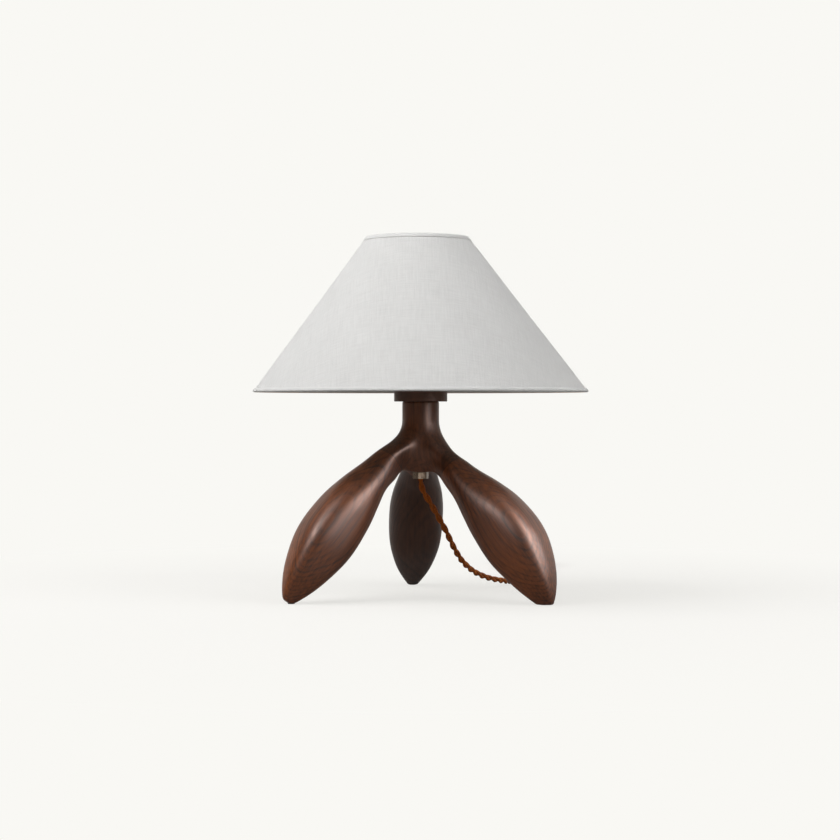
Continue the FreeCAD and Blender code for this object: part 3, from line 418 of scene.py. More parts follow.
def copper_braid():
    """Copper-coloured braided cotton: two sets of slanting yarns, U round and V along."""
    made, tree = material("copper braid")
    place = place_on(tree, "UV")
    parts = put(tree, "ShaderNodeSeparateXYZ", {"Vector": place}).outputs
    ribs = []
    for hand in (-1.0, 1.0):
        turns = maths(tree, "MULTIPLY", parts["X"], yarns_round)
        ribs.append(wave(tree, plus(tree, turns, parts["Y"], hand * yarns_along)))
    over = maths(tree, "SINE", maths(tree, "MULTIPLY", parts["Y"], 2 * yarns_along * math.tau))
    yarn = crossed(tree, spread(tree, over, -0.5, 0.5), *ribs)
    fuzz = noise(tree, place_on(tree), 2600.0, 3.0, 0.7)
    worn = noise(tree, place_on(tree), 55.0, 3.0)
    tone = plus(tree, maths(tree, "MULTIPLY", yarn, 0.6), fuzz, 0.4)
    tint = mixed(tree, tone, (0.17, 0.036, 0.005, 1), (0.84, 0.22, 0.026, 1))
    tint = mixed(tree, spread(tree, worn, 0.45, 0.75, 0.0, 0.25), tint, (0.84, 0.27, 0.05, 1))
    height = plus(tree, yarn, fuzz, 0.5)
    surfaced(tree, {"Base Color": tint, "Roughness": 0.7, "Specular IOR Level": 0.08,
                    "Sheen Weight": 0.03, "Sheen Roughness": 0.4,
                    "Normal": bumped(tree, height, 0.5, 0.0003)})
    return made


def opal_glass():
    made, tree = material("opal glass")
    place = place_on(tree)
    wear = grouped(tree, handling_wear, Place=place, Amount=0.6)
    cloud = noise(tree, place, 45.0, 2.0)
    tint = mixed(tree, cloud, (0.86, 0.85, 0.82, 1), (0.9, 0.895, 0.875, 1))
    rough = plus(tree, 0.16, wear["Smudge"], 0.1)
    surfaced(tree, {"Base Color": tint, "Roughness": rough, "Coat Weight": 0.5,
                    "Coat Roughness": 0.05,
                    "Normal": bumped(tree, wear["Height"], 0.05, 0.0001)})
    return made


def shade_backing():
    """The smooth styrene sheet that the linen is laid on, pale and slightly yellowed."""
    made, tree = material("shade backing")
    place = place_on(tree)
    wear = grouped(tree, handling_wear, Place=place, Size=0.6)
    cloud = noise(tree, place, 9.0, 3.0)
    tint = mixed(tree, spread(tree, cloud, 0.3, 0.7), (0.70, 0.66, 0.58, 1),
                 (0.76, 0.73, 0.66, 1))
    rough = plus(tree, 0.42, wear["Smudge"], 0.15)
    surfaced(tree, {"Base Color": tint, "Roughness": rough, "Specular IOR Level": 0.4,
                    "Normal": bumped(tree, wear["Height"], 0.08, 0.0002)})
    return made


def felt():
    made, tree = material("brown felt")
    place = place_on(tree)
    hairs = noise(tree, place, 1500.0, 4.0, 0.7, 0.8)
    tint = mixed(tree, hairs, (0.06, 0.04, 0.03, 1), (0.2, 0.14, 0.1, 1))
    surfaced(tree, {"Base Color": tint, "Roughness": 0.95, "Sheen Weight": 0.4,
                    "Normal": bumped(tree, hairs, 0.8, 0.0003)})
    return made


def insulating_card():
    made, tree = material("insulating card")
    place = place_on(tree)
    fibre = noise(tree, stretched(tree, place, 1, 1, 0.3), 900.0, 4.0, 0.7)
    tint = mixed(tree, fibre, (0.26, 0.2, 0.13, 1), (0.42, 0.35, 0.25, 1))
    surfaced(tree, {"Base Color": tint, "Roughness": 0.8,
                    "Normal": bumped(tree, fibre, 0.3, 0.0002)})
    return made


def studio_paper():
    """The pale floor: it takes the object's shadow, and elsewhere shows as paper white."""
    made, tree = material("studio paper")
    place = place_on(tree)
    path = tree.nodes.new("ShaderNodeLightPath").outputs
    tooth = noise(tree, place, 260.0, 3.0)
    seen = maths(tree, "MAXIMUM", path["Is Camera Ray"],
                 maths(tree, "MULTIPLY", path["Is Glossy Ray"], floor_mirror_share))
    seen = maths(tree, "MAXIMUM", seen, path["Is Transmission Ray"])
    tint = mixed(tree, tooth, *paper_tones)
    tint = mixed(tree, seen, tint, stretched(tree, tint, *[floor_paper_share] * 3))
    paper = put(tree, "ShaderNodeBsdfDiffuse", {"Color": tint, "Roughness": 0.3}).outputs[0]
    lift = put(tree, "ShaderNodeEmission",
               {"Color": paper_white, "Strength": maths(tree, "MULTIPLY", seen, floor_lift)})
    near = put(tree, "ShaderNodeAddShader", {0: paper, 1: lift.outputs[0]}).outputs[0]
    full = put(tree, "ShaderNodeEmission", {"Color": paper_white, "Strength": 1.0}).outputs[0]
    away = maths(tree, "MULTIPLY", spread(tree, length_of(tree, place), *floor_fade), seen)
    finished(tree, put(tree, "ShaderNodeMixShader", {0: away, 1: near, 2: full}).outputs[0])
    return made


def studio_world():
    """White paper all round for what is seen, and faint pale walls that give light."""
    world = bpy.data.worlds.new("studio")
    bpy.context.scene.world = world
    world.use_nodes = True
    tree = world.node_tree
    tree.nodes.clear()
    path = tree.nodes.new("ShaderNodeLightPath").outputs
    way = put(tree, "ShaderNodeSeparateXYZ", {"Vector": place_on(tree, "Generated")}).outputs
    behind = spread(tree, way["Y"], 0.1, 0.7)
    mirrored = maths(tree, "MAXIMUM", path["Is Glossy Ray"], path["Is Transmission Ray"])
    mirrored = maths(tree, "MULTIPLY", mirrored, behind)
    shown = maths(tree, "MAXIMUM", path["Is Camera Ray"], mirrored)
    seen = put(tree, "ShaderNodeBackground", {"Color": paper_white, "Strength": 1.0}).outputs[0]
    glow = plus(tree, wall_glow, behind, back_wall_glow)
    walls = put(tree, "ShaderNodeBackground", {"Color": (1, 0.995, 0.985, 1), "Strength": glow})
    both = put(tree, "ShaderNodeMixShader", {0: shown, 1: walls.outputs[0], 2: seen})
    put(tree, "ShaderNodeOutputWorld", {"Surface": both.outputs[0]})


def studio_floor(paper):
    mesh = bpy.data.meshes.new("studio_floor")
    reach = 12
    mesh.from_pydata([(-reach, -reach, 0), (reach, -reach, 0), (reach, reach, 0),
                      (-reach, reach, 0)], [], [(0, 1, 2, 3)])
    mesh.materials.append(paper)
    floor = placed("studio_floor", mesh)
    floor.location.z = -floor_drop


# ------------------------ mesh helpers


def piece_of(name, mesh, body, *materials):
    for finish in materials:
        mesh.materials.append(finish)
    piece = placed(name, mesh)
    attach(piece, body)
    return piece


def dress(names, finish):
    for name in names:
        mesh = nodes[name].data
        if not mesh.materials:
            mesh.materials.append(finish)
        for index in range(len(mesh.materials)):
            mesh.materials[index] = finish


def add_strip(shape, rings, closed_round, flat_place):
    """Faces between rows of points; flat_place gives a corner's (u, v) by row and column."""
    rows = [[shape.verts.new(point) for point in ring] for ring in rings]
    layers = shape.loops.layers.uv
    uv = layers.get("UVMap") or layers.new("UVMap")
    width = len(rows[0])
    for i in range(len(rows) - 1):
        for j in range(width if closed_round else width - 1):
            corners = [(i, j), (i, j + 1), (i + 1, j + 1), (i + 1, j)]
            face = shape.faces.new([rows[a][b % width] for a, b in corners])
            face.smooth = True
            for loop, corner in zip(face.loops, corners):
                loop[uv].uv = flat_place(*corner)
    return rows


def mesh_from(shape, name):
    mesh = bpy.data.meshes.new(name)
    shape.to_mesh(mesh)
    shape.free()
    return mesh


def closed_mesh(shape, name):
    bmesh.ops.recalc_face_normals(shape, faces=shape.faces[:])
    return mesh_from(shape, name)


def thickened(piece, name, thickness):
    """Gives a strip its thickness, inwards from the face that shows."""
    thick = piece.modifiers.new(name, "SOLIDIFY")
    thick.thickness = thickness
    thick.offset = -1


# ------------------------ the lead

lead_diameter = 0.0074
strand_radius = lead_diameter * 0.283
strand_offset = lead_diameter * 0.236
strand_corners = 12
strand_step = 0.0021         # metres along, from one ring of corners to the next
strand_twist = 0.0295        # metres along, for one turn of the strands round each other
strand_wander = 0.035        # how much nearer to each other they come here and there

coil_centre = (0.1467, 0.480)
coil_outer_radius = 0.0422
coil_pitch = 0.0081
coil_base = 0.0046
coil_layer_turns = (1.25, 1.0, 1.375, 0.875)
coil_climb_turns = 0.5
coil_points_per_turn = 16

tie_angle = math.radians(52)     # where on the coil the strap goes round it
tie_reach = 0.13                 # radians to either side in which it clears the turns
tie_samples = 2000
tie_corners = 48
tie_columns = 9
tie_width = 0.0098
tie_gap = 0.0003
tie_puff = 0.00025
tie_flat_below = -0.7            # no puff where the strap looks down more than this
tie_thickness = 0.0006

# out of the nut, down behind the right leg and along the floor
lead_points = [
    (0.0, 0.0, 0.1418), (0.0005, 0.0, 0.1305), (0.0095, 0.0012, 0.1162),
    (0.0182, 0.005, 0.1012), (0.0264, 0.012, 0.086), (0.0334, 0.0205, 0.072),
    (0.0411, 0.034, 0.0545), (0.0513, 0.054, 0.0375), (0.0662, 0.080, 0.023),
    (0.084, 0.105, 0.0138), (0.101, 0.127, 0.0088), (0.113, 0.152, 0.0055),
    (0.1195, 0.184, 0.0039), (0.1225, 0.222, 0.0038), (0.1235, 0.263, 0.0038),
    (0.1207, 0.306, 0.0038), (0.1152, 0.350, 0.0038), (0.1095, 0.390, 0.0039),
    (0.1050, 0.424, 0.0043), (0.1045, 0.4486, 0.0046), (0.1045, 0.4726, 0.0046),
]
# from the coil down to the plug
tail_points = [
    (0.1828, 0.4726, 0.0289), (0.1828, 0.4596, 0.0289), (0.1822, 0.441, 0.0248),
    (0.1797, 0.4225, 0.016), (0.1768, 0.404, 0.0088), (0.1725, 0.3875, 0.0088),
]


def coil_place(turns):
    """A point of the put-away coil: flat spirals in and out, one layer on another."""
    radius = coil_outer_radius
    height = coil_base
    way = -1
    before = end = 0.0
    for index, layer in enumerate(coil_layer_turns):
        end += layer
        part = max(0.0, min(turns, end) - before)
        radius += way * coil_pitch * part
        before = end
        way = -way
        if index == len(coil_layer_turns) - 1:
            break
        off = turns - end
        half = coil_climb_turns / 2
        if abs(off) < half:
            radius += way * coil_pitch * (off * off / (2 * half) + half / 2 - abs(off))
            height += coil_pitch * (1 + math.sin(math.pi * off / coil_climb_turns)) / 2
        elif off >= half:
            height += coil_pitch
    angle = math.pi - math.tau * turns
    return (coil_centre[0] + radius * math.cos(angle),
            coil_centre[1] + radius * math.sin(angle), height)


def whole_lead():
    total = sum(coil_layer_turns)
    count = round(total * coil_points_per_turn)
    coil = [coil_place(total * index / count) for index in range(count + 1)]
    return lead_points + coil + tail_points


def read_line(points, resolution):
    """The smooth line that the control points guide, as Blender's own NURBS gives it."""
    curve = bpy.data.curves.new("lead_line", "CURVE")
    curve.dimensions = "3D"
    curve.resolution_u = resolution
    spline = curve.splines.new("NURBS")
    spline.points.add(len(points) - 1)
    for control, point in zip(spline.points, points):
        control.co = (*point, 1.0)
    spline.order_u = 3
    spline.use_endpoint_u = True
    guide = bpy.data.objects.new("lead_line", curve)
    mesh = bpy.data.meshes.new_from_object(guide)
    line = [vertex.co.copy() for vertex in mesh.vertices]
    bpy.data.meshes.remove(mesh)
    bpy.data.objects.remove(guide)
    bpy.data.curves.remove(curve)
    return line


def even_line(line, step):
    """Points at even distances along a line, and each one's distance from its start."""
    along = [0.0]
    for a, b in zip(line, line[1:]):
        along.append(along[-1] + (b - a).length)
    total = along[-1]
    count = max(2, round(total / step))
    spots = []
    index = 0
    for mark in range(count + 1):
        want = total * mark / count
        while index < len(line) - 2 and along[index + 1] < want:
            index += 1
        run = along[index + 1] - along[index]
        share = (want - along[index]) / run if run > 0 else 0.0
        spots.append((line[index].lerp(line[index + 1], min(1.0, share)), want))
    return spots


def carried_frames(points):
    """A side way at each point, carried along the line without twist."""
    ways = []
    for index in range(len(points)):
        a = points[max(0, index - 1)]
        b = points[min(len(points) - 1, index + 1)]
        ways.append((b - a).normalized())
    side = ways[0].orthogonal().normalized()
    sides = [side]
    for before, here in zip(ways, ways[1:]):
        side = (before.rotation_difference(here) @ sides[-1])
        side = (side - here * side.dot(here)).normalized()
        sides.append(side)
    return ways, sides


def way_round(way, side, angle):
    """The way square to a line that lies at an angle from its side way."""
    return side * math.cos(angle) + way.cross(side) * math.sin(angle)


def twisted_lead(finish):
    """Two braided strands twisted round each other along the whole lead."""
    spots = even_line(read_line(whole_lead(), 12), strand_step)
    points = [point for point, _ in spots]
    ways, sides = carried_frames(points)
    whole = bmesh.new()
    for hand in (0, 1):
        centres = []
        for (point, along), way, side in zip(spots, ways, sides):
            turn = math.tau * along / strand_twist + math.pi * (hand + 0.5)
            wander = 1 - strand_wander * (1 + math.sin(along * 61 + 2 * hand))
            centres.append(point + way_round(way, side, turn) * strand_offset * wander)
        rings = []
        for centre, way, side in zip(centres, *carried_frames(centres)):
            angles = [math.tau * index / strand_corners for index in range(strand_corners)]
            rings.append([centre + way_round(way, side, angle) * strand_radius
                          for angle in angles])
        rows = add_strip(whole, rings, True, lambda i, j: (j / strand_corners, spots[i][1]))
        whole.faces.new(list(reversed(rows[0])))
        whole.faces.new(rows[-1])
    lead = piece_of("twisted_lead", closed_mesh(whole, "twisted_lead"), "base", finish)
    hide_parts("cord_stretch", "cord_coil", "cord_tail")
    return lead, points, spots[-1][1]


def tie_outline():
    """The tight line round the turns under the strap: each point's place and way, out and up."""
    total = sum(coil_layer_turns)
    passing = []
    for index in range(tie_samples + 1):
        x, y, z = coil_place(total * index / tie_samples)
        deep, aside = x - coil_centre[0], y - coil_centre[1]
        if abs(math.remainder(math.atan2(aside, deep) - tie_angle, math.tau)) < tie_reach:
            passing.append((math.hypot(deep, aside), z))
    skin = lead_diameter / 2 + tie_gap
    outline = []
    for index in range(tie_corners):
        turn = math.tau * index / tie_corners
        out, up = math.cos(turn), math.sin(turn)
        radius, height = max(passing, key=lambda spot: spot[0] * out + spot[1] * up)
        outline.append((radius + skin * out, height + skin * up, out, up))
    return outline


def coil_tie(finish):
    """A soft strap drawn round the coil's turns, a little puffed between its edges."""
    outline = tie_outline()
    rings = []
    for column in range(tie_columns):
        across = column / (tie_columns - 1) - 0.5
        ring = []
        for radius, height, out, up in outline:
            puff = 0.0 if up < tie_flat_below else tie_puff * (1 - (2 * across) ** 4)
            ring.append(Vector((radius + out * puff, across * tie_width, height + up * puff)))
        rings.append(ring)
    around = [0.0]
    for a, b in zip(rings[0], rings[0][1:] + rings[0][:1]):
        around.append(around[-1] + (b - a).length)
    shape = bmesh.new()
    add_strip(shape, rings, True, lambda i, j: (i * tie_width / (tie_columns - 1), around[j]))
    onto_coil = Matrix.Translation((*coil_centre, 0)) @ Matrix.Rotation(tie_angle, 4, "Z")
    bmesh.ops.transform(shape, matrix=onto_coil, verts=shape.verts[:])
    tie = piece_of("coil_tie", closed_mesh(shape, "coil_tie"), "base", finish)
    thickened(tie, "strap_thickness", tie_thickness)
    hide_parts("cord_tie")
    return tie


# ------------------------ the carved wood

# each leg's turn in degrees from +X, and the height of its shoulder
leg_hands = {"left": (209.1, 0.167), "right": (328.8, 0.156), "back": (92.6, 0.156)}
seam_out = 0.045
leg_reach = 0.176
# the glue line is square to the leg's run there: out by a share of its reach past the
# seam, and down by a share of its shoulder's height
seam_run_share = 0.19
seam_fall_share = 0.15
skin_voxel = 0.0014
cut_end_corners = 9          # a face with this many corners or more is a cut end


def level_way(turn):
    return math.cos(math.radians(turn)), math.sin(math.radians(turn)), 0.0


def seam_of(name):
    """A point on the glue line's plane, the plane's way, and the leg's own level way."""
    turn, shoulder = leg_hands[name]
    out = Vector(level_way(turn))
    run = seam_run_share * (leg_reach - seam_out)
    way = (out * run + Vector((0, 0, -seam_fall_share * shoulder))).normalized()
    return out * seam_out + Vector((0, 0, shoulder)), way, out


def whole_carving():
    """Hub and legs as one skin, so that the surface runs smoothly over the glue lines."""
    shape = bmesh.new()
    for name in ("hub", "leg_left", "leg_right", "leg_back"):
        shape.from_mesh(nodes[name].data)
    mesh = mesh_from(shape, "whole_carving")
    block = placed("whole_carving", mesh)
    skin = block.modifiers.new("skin", "REMESH")
    skin.mode = "VOXEL"
    skin.voxel_size = skin_voxel
    skin.use_smooth_shade = True
    shot = bpy.context.evaluated_depsgraph_get()
    done = bpy.data.meshes.new_from_object(block.evaluated_get(shot))
    bpy.data.objects.remove(block)
    bpy.data.meshes.remove(mesh)
    return done


def biggest_part(shape):
    """Leaves out the closed hollows of the dowel holes."""
    left = set(shape.verts)
    parts = []
    while left:
        start = left.pop()
        part = {start}
        edge = [start]
        while edge:
            vert = edge.pop()
            for link in vert.link_edges:
                other = link.other_vert(vert)
                if other in left:
                    left.discard(other)
                    part.add(other)
                    edge.append(other)
        parts.append(part)
    parts.sort(key=len)
    bmesh.ops.delete(shape, geom=[v for part in parts[:-1] for v in part], context="VERTS")


def places_of(mesh):
    place = np.empty(len(mesh.vertices) * 3)
    mesh.vertices.foreach_get("co", place)
    return place.reshape(-1, 3)


def put_places(mesh, place):
    mesh.vertices.foreach_set("co", place.ravel())
    mesh.update()


def ramp(value, start, run):
    """0 at the start and 1 after the run, which is negative where lower values give 1."""
    return np.clip((value - start) / run, 0, 1)


# ramps, as start and run: how far out from the middle, and how high
clear_of_nut = (0.0145, 0.003)
within_hub = (0.060, -0.012)
below_neck = (0.222, -0.01)
below_collar = (0.2325, -0.002)
above_feet = (0.0015, 0.002)

fill_rounds = 420
rounds_per_normal = 20
even_rounds = 6
even_share = 0.5


def eased_valleys(mesh):
    """Fills the hollows between the arms, and then evens out the whole skin a little."""
    place = places_of(mesh)
    count = len(place)
    links = np.empty(len(mesh.edges) * 2, dtype=np.int64)
    mesh.edges.foreach_get("vertices", links)
    a, b = links[0::2], links[1::2]
    degree = np.bincount(a, minlength=count) + np.bincount(b, minlength=count)
    degree = np.maximum(degree, 1)[:, None]

    def to_average():
        total = np.zeros_like(place)
        for axis in range(3):
            total[:, axis] = (np.bincount(a, place[b, axis], count)
                              + np.bincount(b, place[a, axis], count))
        return total / degree - place

    off_nut = ramp(np.hypot(place[:, 0], place[:, 1]), *clear_of_nut)
    in_hub = ramp(np.hypot(place[:, 0], place[:, 1]), *within_hub)
    soft = in_hub * ramp(place[:, 2], *below_neck) * off_nut
    normal = np.empty(count * 3)
    for turn in range(fill_rounds):
        if turn % rounds_per_normal == 0:
            put_places(mesh, place)
            mesh.vertices.foreach_get("normal", normal)
            way = normal.reshape(-1, 3)
        push = np.maximum((to_average() * way).sum(axis=1), 0) * soft
        place += way * push[:, None]
    keep = off_nut * ramp(place[:, 2], *below_collar) * ramp(place[:, 2], *above_feet)
    for _ in range(even_rounds):
        place += to_average() * even_share * keep[:, None]
    put_places(mesh, place)


brow_turns = (-91.05, 30.7, 150.85)          # degrees from +X, between each two arms
brow_heights = (0.146, 0.150, 0.153, 0.156, 0.160, 0.165, 0.170, 0.175, 0.181, 0.189, 0.199)
brow_pulls = (0.0052, 0.0050, 0.0070, 0.0070, 0.0060, 0.0040, 0.0017, -0.0003, -0.0014,
              -0.0013, 0)
brow_depth = (0.0146, 0.0095)                # ramps: out from the middle, and to the sides
brow_breadth = (0.042, -0.026)


def rounded_brows(mesh):
    """Pulls the hub's lower edge in, between each two arms, by a table of heights."""
    place = places_of(mesh)
    for turn in brow_turns:
        out = np.array(level_way(turn))
        deep = place @ out
        aside = np.abs(place @ np.array((-out[1], out[0], 0.0)))
        pull = np.interp(place[:, 2], brow_heights, brow_pulls) * ramp(deep, *brow_depth)
        beside = ramp(aside, *brow_breadth)
        pull *= beside * beside * (3 - 2 * beside)
        place -= out[None, :] * pull[:, None]
    put_places(mesh, place)


def cut_free(source, name, planes):
    """The part of the skin on the near side of each plane, with its ends closed."""
    shape = bmesh.new()
    shape.from_mesh(source)
    for point, way in planes:
        geom = shape.verts[:] + shape.edges[:] + shape.faces[:]
        cut = bmesh.ops.bisect_plane(shape, geom=geom, plane_co=point, plane_no=way,
                                     clear_outer=True, dist=1e-7)
        edges = [e for e in cut["geom_cut"] if isinstance(e, bmesh.types.BMEdge)]
        if edges:
            for edge in edges:
                edge.smooth = False
            bmesh.ops.holes_fill(shape, edges=edges, sides=0)
    biggest_part(shape)
    for face in shape.faces:
        face.smooth = len(face.verts) < cut_end_corners
    bmesh.ops.triangulate(shape, faces=[f for f in shape.faces if len(f.verts) > 4])
    return mesh_from(shape, name)


def carved_base(woods):
    """Cuts the one skin at its glue lines into the hub and the three legs."""
    skin = whole_carving()
    rounded_brows(skin)
    eased_valleys(skin)
    seams = {name: seam_of(name) for name in leg_hands}
    cuts = {"hub": [(point, way) for point, way, _ in seams.values()]}
    for name, (point, way, out) in seams.items():
        cuts["leg_" + name] = [(point, -way), (Vector((0, 0, 0)), -out)]
    for name, planes in cuts.items():
        mesh = cut_free(skin, "carved_" + name, planes)
        piece = piece_of("carved_" + name, mesh, "base", woods[name])
        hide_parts(name)
    bpy.data.meshes.remove(skin)


# ------------------------ the shade

# the cone's two ends, as radius and height
shade_bottom = (0.200, 0.2459)
shade_top = (0.061, 0.4306)
shade_top_shift = -0.004
shade_slope = math.hypot(shade_bottom[0] - shade_top[0], shade_top[1] - shade_bottom[1])
shade_sine = (shade_bottom[0] - shade_top[0]) / shade_slope      # of its half angle

cloth_columns = 240
cloth_rows = 40
cloth_lap = math.radians(2.2)    # how far the cut's two ends lie over each other
cloth_lap_rise = 0.6             # the share of the lap in which the upper end climbs
cloth_lap_lift = 0.00055
cloth_ripple = 0.00010
cloth_ripple_stop = 0.01         # the ripple dies away so near the two edges
cloth_sunk = 0.0001              # how far its face lies inside the cone
cloth_thickness = 0.0005

hem_columns = 200
hem_steps = 10
hem_fold_steps = 6
hem_face = 0.0001                # what its outside stands off the cone, besides its swell
hem_swell = (0.10, 0.72)         # the part of half a wave that it follows, start and run
hem_fold_depth = 0.0007          # how far the fold goes beyond the hem's own line
hem_fold_middle = -0.0006
hem_fold_radius = 0.00125
hem_inner_face = -0.00165
hem_inner_width = 0.00456
hem_inner_swell = 0.0002
hem_thickness = 0.00035
hem_pucker = 0.00007


def on_shade(angle, along, out=0.0):
    """A point of the shade: angle from the front, metres up its slope, and out from it."""
    share = along / shade_slope
    radius = shade_bottom[0] + (shade_top[0] - shade_bottom[0]) * share
    height = shade_bottom[1] + (shade_top[1] - shade_bottom[1]) * share
    level = (shade_top[1] - shade_bottom[1]) / shade_slope
    radius += out * level
    height += out * shade_sine
    return Vector((shade_top_shift * share + radius * math.sin(angle),
                   -radius * math.cos(angle), height))


def flat_cut(angle, along):
    """Where a point of the shade lies on the flat cut of its cloth."""
    reach = shade_bottom[0] / shade_sine - along
    turn = angle * shade_sine
    return reach * math.sin(turn), -reach * math.cos(turn)


def shade_cloth(finish):
    """The linen skin, one cut closed by a lapped joint at the back."""
    start = -math.pi - cloth_lap / 2
    end = math.pi + cloth_lap / 2

    def spot(i, j):
        return start + (end - start) * j / cloth_columns, shade_slope * i / cloth_rows

    rings = []
    for i in range(cloth_rows + 1):
        ring = []
        for j in range(cloth_columns + 1):
            angle, along = spot(i, j)
            past = angle - (math.pi - cloth_lap * (1 + cloth_lap_rise))
            lift = cloth_lap_lift * min(1.0, max(0.0, past / (cloth_lap * cloth_lap_rise)))
            ripple = cloth_ripple * (
                math.sin(5 * angle + 1.3) * math.sin(9 * along / shade_slope)
                + math.sin(11 * angle + 4 * along / shade_slope))
            inner = min(1.0, along / cloth_ripple_stop, (shade_slope - along) / cloth_ripple_stop)
            ring.append(on_shade(angle, along, -cloth_sunk + lift + ripple * inner))
        rings.append(ring)
    shape = bmesh.new()
    add_strip(shape, rings, False, lambda i, j: flat_cut(*spot(i, j)))
    skin = piece_of("shade_cloth", mesh_from(shape, "shade_cloth"), "shade", finish)
    thickened(skin, "cloth_thickness", cloth_thickness)
    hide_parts("shade_linen")
    return skin


def hem_outline(width, bulge):
    """A hem's section from its outer edge round: points along the slope and out from it."""
    outline = []
    for index in range(hem_steps + 1):
        share = index / hem_steps
        swell = math.sin(math.pi * (hem_swell[0] + hem_swell[1] * share)) ** 0.6
        outline.append((width * (1 - share), hem_face + bulge * swell))
    for index in range(1, hem_fold_steps):
        turn = math.pi * index / hem_fold_steps
        outline.append((-hem_fold_depth * math.sin(turn),
                        hem_fold_middle + hem_fold_radius * math.cos(turn)))
    for index in range(hem_steps):
        share = (index + 1) / hem_steps
        outline.append((hem_inner_width * share,
                        hem_inner_face - hem_inner_swell * math.sin(math.pi * share)))
    return outline


def rolled_hem(name, node, edge, way, width, bulge, finish, shaded_inner_tape):
    """A folded tape rolled over one edge of the shade: outside, round the edge, inside. Its
    inside takes a warmer, darker finish of its own, a painted shade tint.
    """
    outline = hem_outline(width, bulge)
    rings = []
    for along, out in outline:
        pucker = hem_pucker if out > 0 else 0.0
        ring = []
        for j in range(hem_columns):
            angle = math.tau * j / hem_columns
            off = out + pucker * math.sin(angle * 67 + 900 * along)
            ring.append(on_shade(angle, edge + way * along, off))
        rings.append(ring)
    up_cut = [0.0]
    for a, b in zip(outline, outline[1:]):
        up_cut.append(up_cut[-1] + math.dist(a, b))
    # longer than the hem's radius, so that the threads are drawn finer round it than up it
    reach = rings[0][0].length
    shape = bmesh.new()
    add_strip(shape, rings, True, lambda i, j: (reach * math.tau * j / hem_columns, up_cut[i]))
    mesh = closed_mesh(shape, name)
    outer_rows = hem_steps + hem_fold_steps - 1
    for face in mesh.polygons:
        face.material_index = int(face.index // hem_columns >= outer_rows)
    hem = piece_of(name, mesh, "shade", finish, shaded_inner_tape)
    thickened(hem, "tape_thickness", hem_thickness)
    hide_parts(node)
    return hem


# ------------------------ the lamp, put together

studio_camera()
studio_lights()
studio_world()
studio_floor(studio_paper())

braided = copper_braid()
lead, lead_path, lead_length = twisted_lead(braided)
tie = coil_tie(cloth("woven strap", (0.10, 0.065, 0.05, 1), (0.04, 0.026, 0.02, 1),
                     thread=0.0007, slubs=0.5, strength=0.5))


def along_leg(name, deep, aside):
    """Where the pith of a leg's blank runs, and how the grain is turned to follow the leg."""
    top, _, out = seam_of(name)
    foot = out * leg_reach
    way = (top - foot).normalized()
    side = Vector((-out.y, out.x, 0))
    pith = (top + foot) / 2 + Vector((0, deep, 0)) + side * aside
    return pith, way.to_track_quat("Z", "Y").to_euler()


# each leg's blank: its pith's place behind and beside the leg, ring spacing and light tone; the
# back leg's darker tone is painted shade
leg_blanks = {
    "left": (0.062, 0.008, 0.0029, walnut_light),
    "right": (0.070, -0.004, 0.0028, walnut_light),
    # painted shade: the back leg's tone is darker than the other legs', where the lampshade
    # shadows it
    "back": (0.055, 0.02, 0.0032, (0.085, 0.028, 0.009, 1)),
}
woods = {}
for name, (deep, aside, spacing, light) in leg_blanks.items():
    pith, turn = along_leg(name, deep, aside)
    woods["leg_" + name] = walnut("walnut leg " + name, pith, turn, spacing, light=light,
                                  seams=[seam_of(name)[:2]])
woods["hub"] = walnut("walnut hub", pith=(0.012, 0.034, 0), turn=(0.05, -0.04, 0),
                      spacing=0.0034, strength=0.5, light=(0.18, 0.055, 0.016, 1),
                      seams=[seam_of(name)[:2] for name in leg_hands])
carved_base(woods)
dress(["collar"],
      walnut("walnut collar", pith=(0.03, 0.05, 0.24), turn=(0.2, 1.45, 0), spacing=0.0034,
             strength=0.5, light=(0.10, 0.038, 0.017, 1), dark=(0.026, 0.010, 0.005, 1)))

linen = cloth("slubbed linen", (0.89, 0.885, 0.87, 1), (0.77, 0.765, 0.75, 1),
              thread=0.00075, slubs=1.0, strength=0.3)
tape = cloth("hem tape", (0.90, 0.895, 0.88, 1), (0.80, 0.795, 0.78, 1),
             thread=0.00075, slubs=0.8, strength=0.3)
skin = shade_cloth(linen)
# painted shade: the hem tape's inside fold is tinted warm brown, where the inside of the
# lampshade lies in shadow
shaded_inner_tape = cloth("hem inner fold with painted shade", (0.93, 0.72, 0.60, 1), (0.80, 0.61, 0.50, 1),
               thread=0.0006, slubs=0.6, strength=0.3)
hems = [rolled_hem("hem_bottom", "shade_hem_bottom", edge=0.0006, way=1, width=0.0040,
                   bulge=0.00075, finish=tape, shaded_inner_tape=shaded_inner_tape),
        rolled_hem("hem_top", "shade_hem_top", edge=shade_slope - 0.0008, way=-1, width=0.0050,
                   bulge=0.0004, finish=tape, shaded_inner_tape=shaded_inner_tape)]
dress(["shade_liner"], shade_backing())

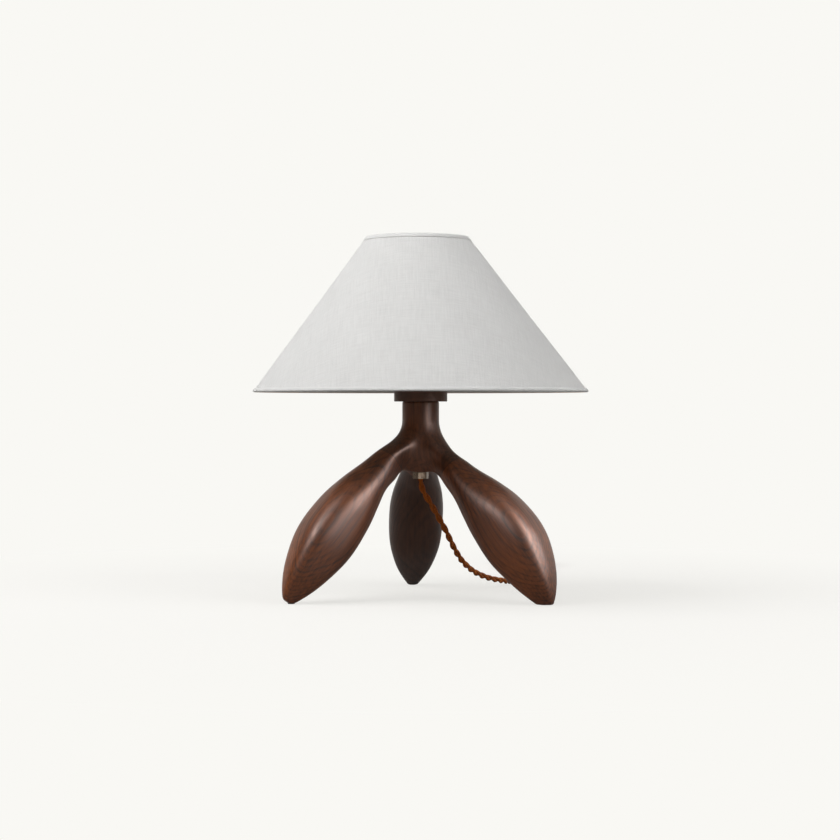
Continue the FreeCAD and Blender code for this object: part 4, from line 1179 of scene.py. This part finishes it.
dress(["foot_pad_left", "foot_pad_right", "foot_pad_back"], felt())
dress(["leg_dowels"],
      walnut("beech dowel", pith=(0, 0, 0), turn=(0, 0, 0), spacing=0.003, strength=0.4,
             light=(0.6, 0.44, 0.28, 1), dark=(0.38, 0.25, 0.14, 1)))
# painted shade: the nut's plated metal is darkened well below the other plated parts, for its
# shadowed spot under the hub
dress(["bottom_nut"],
      metal("nickelled brass nut darkened as painted shade", (0.30, 0.225, 0.165, 1), (0.17, 0.12, 0.085, 1),
            roughness=0.2, brushed=(1, 1, 0.15)))
dress(["lock_nut", "bottom_washer", "saddle_washer", "lamp_pipe", "shade_bottom_ring",
       "shade_top_ring", "shade_spider"],
      metal("zinc plate", (0.60, 0.60, 0.58, 1), (0.44, 0.44, 0.42, 1), roughness=0.3))
dress(["harp", "harp_saddle", "harp_sleeve_left", "harp_sleeve_right", "switch_shaft"],
      metal("satin nickel", (0.66, 0.62, 0.55, 1), (0.5, 0.46, 0.4, 1),
            roughness=0.24, brushed=(1, 1, 0.1)))
dress(["finial", "terminal_screws", "socket_contact", "bulb_contact", "plug_blades",
       "socket_screw_shell"],
      metal("brass", (0.70, 0.50, 0.22, 1), (0.5, 0.34, 0.14, 1),
            roughness=0.22, brushed=(0.2, 0.2, 1)))
dress(["socket_cap", "socket_shell"],
      metal("drawn brass shell", (0.66, 0.52, 0.30, 1), (0.48, 0.36, 0.19, 1),
            roughness=0.26, brushed=(0.1, 0.1, 1)))
dress(["bulb_screw_cap"],
      metal("spun aluminium", (0.78, 0.78, 0.77, 1), (0.6, 0.6, 0.59, 1),
            roughness=0.28, brushed=(0.1, 0.1, 1)))
dress(["bulb_glass"], opal_glass())
dress(["socket_liner"], insulating_card())
dress(["socket_body", "switch_knob", "cord_bushing", "bulb_insulator"],
      moulded("black phenolic", (0.022, 0.019, 0.017, 1), (0.03, 0.026, 0.023, 1),
              roughness=0.3, coat=0.2))
dress(["plug_body"],
      moulded("brown plug", (0.10, 0.047, 0.026, 1), (0.075, 0.036, 0.02, 1),
              roughness=0.42))
dress(["inner_cord"], braided)

bpy.context.scene.view_settings.view_transform = "Standard"
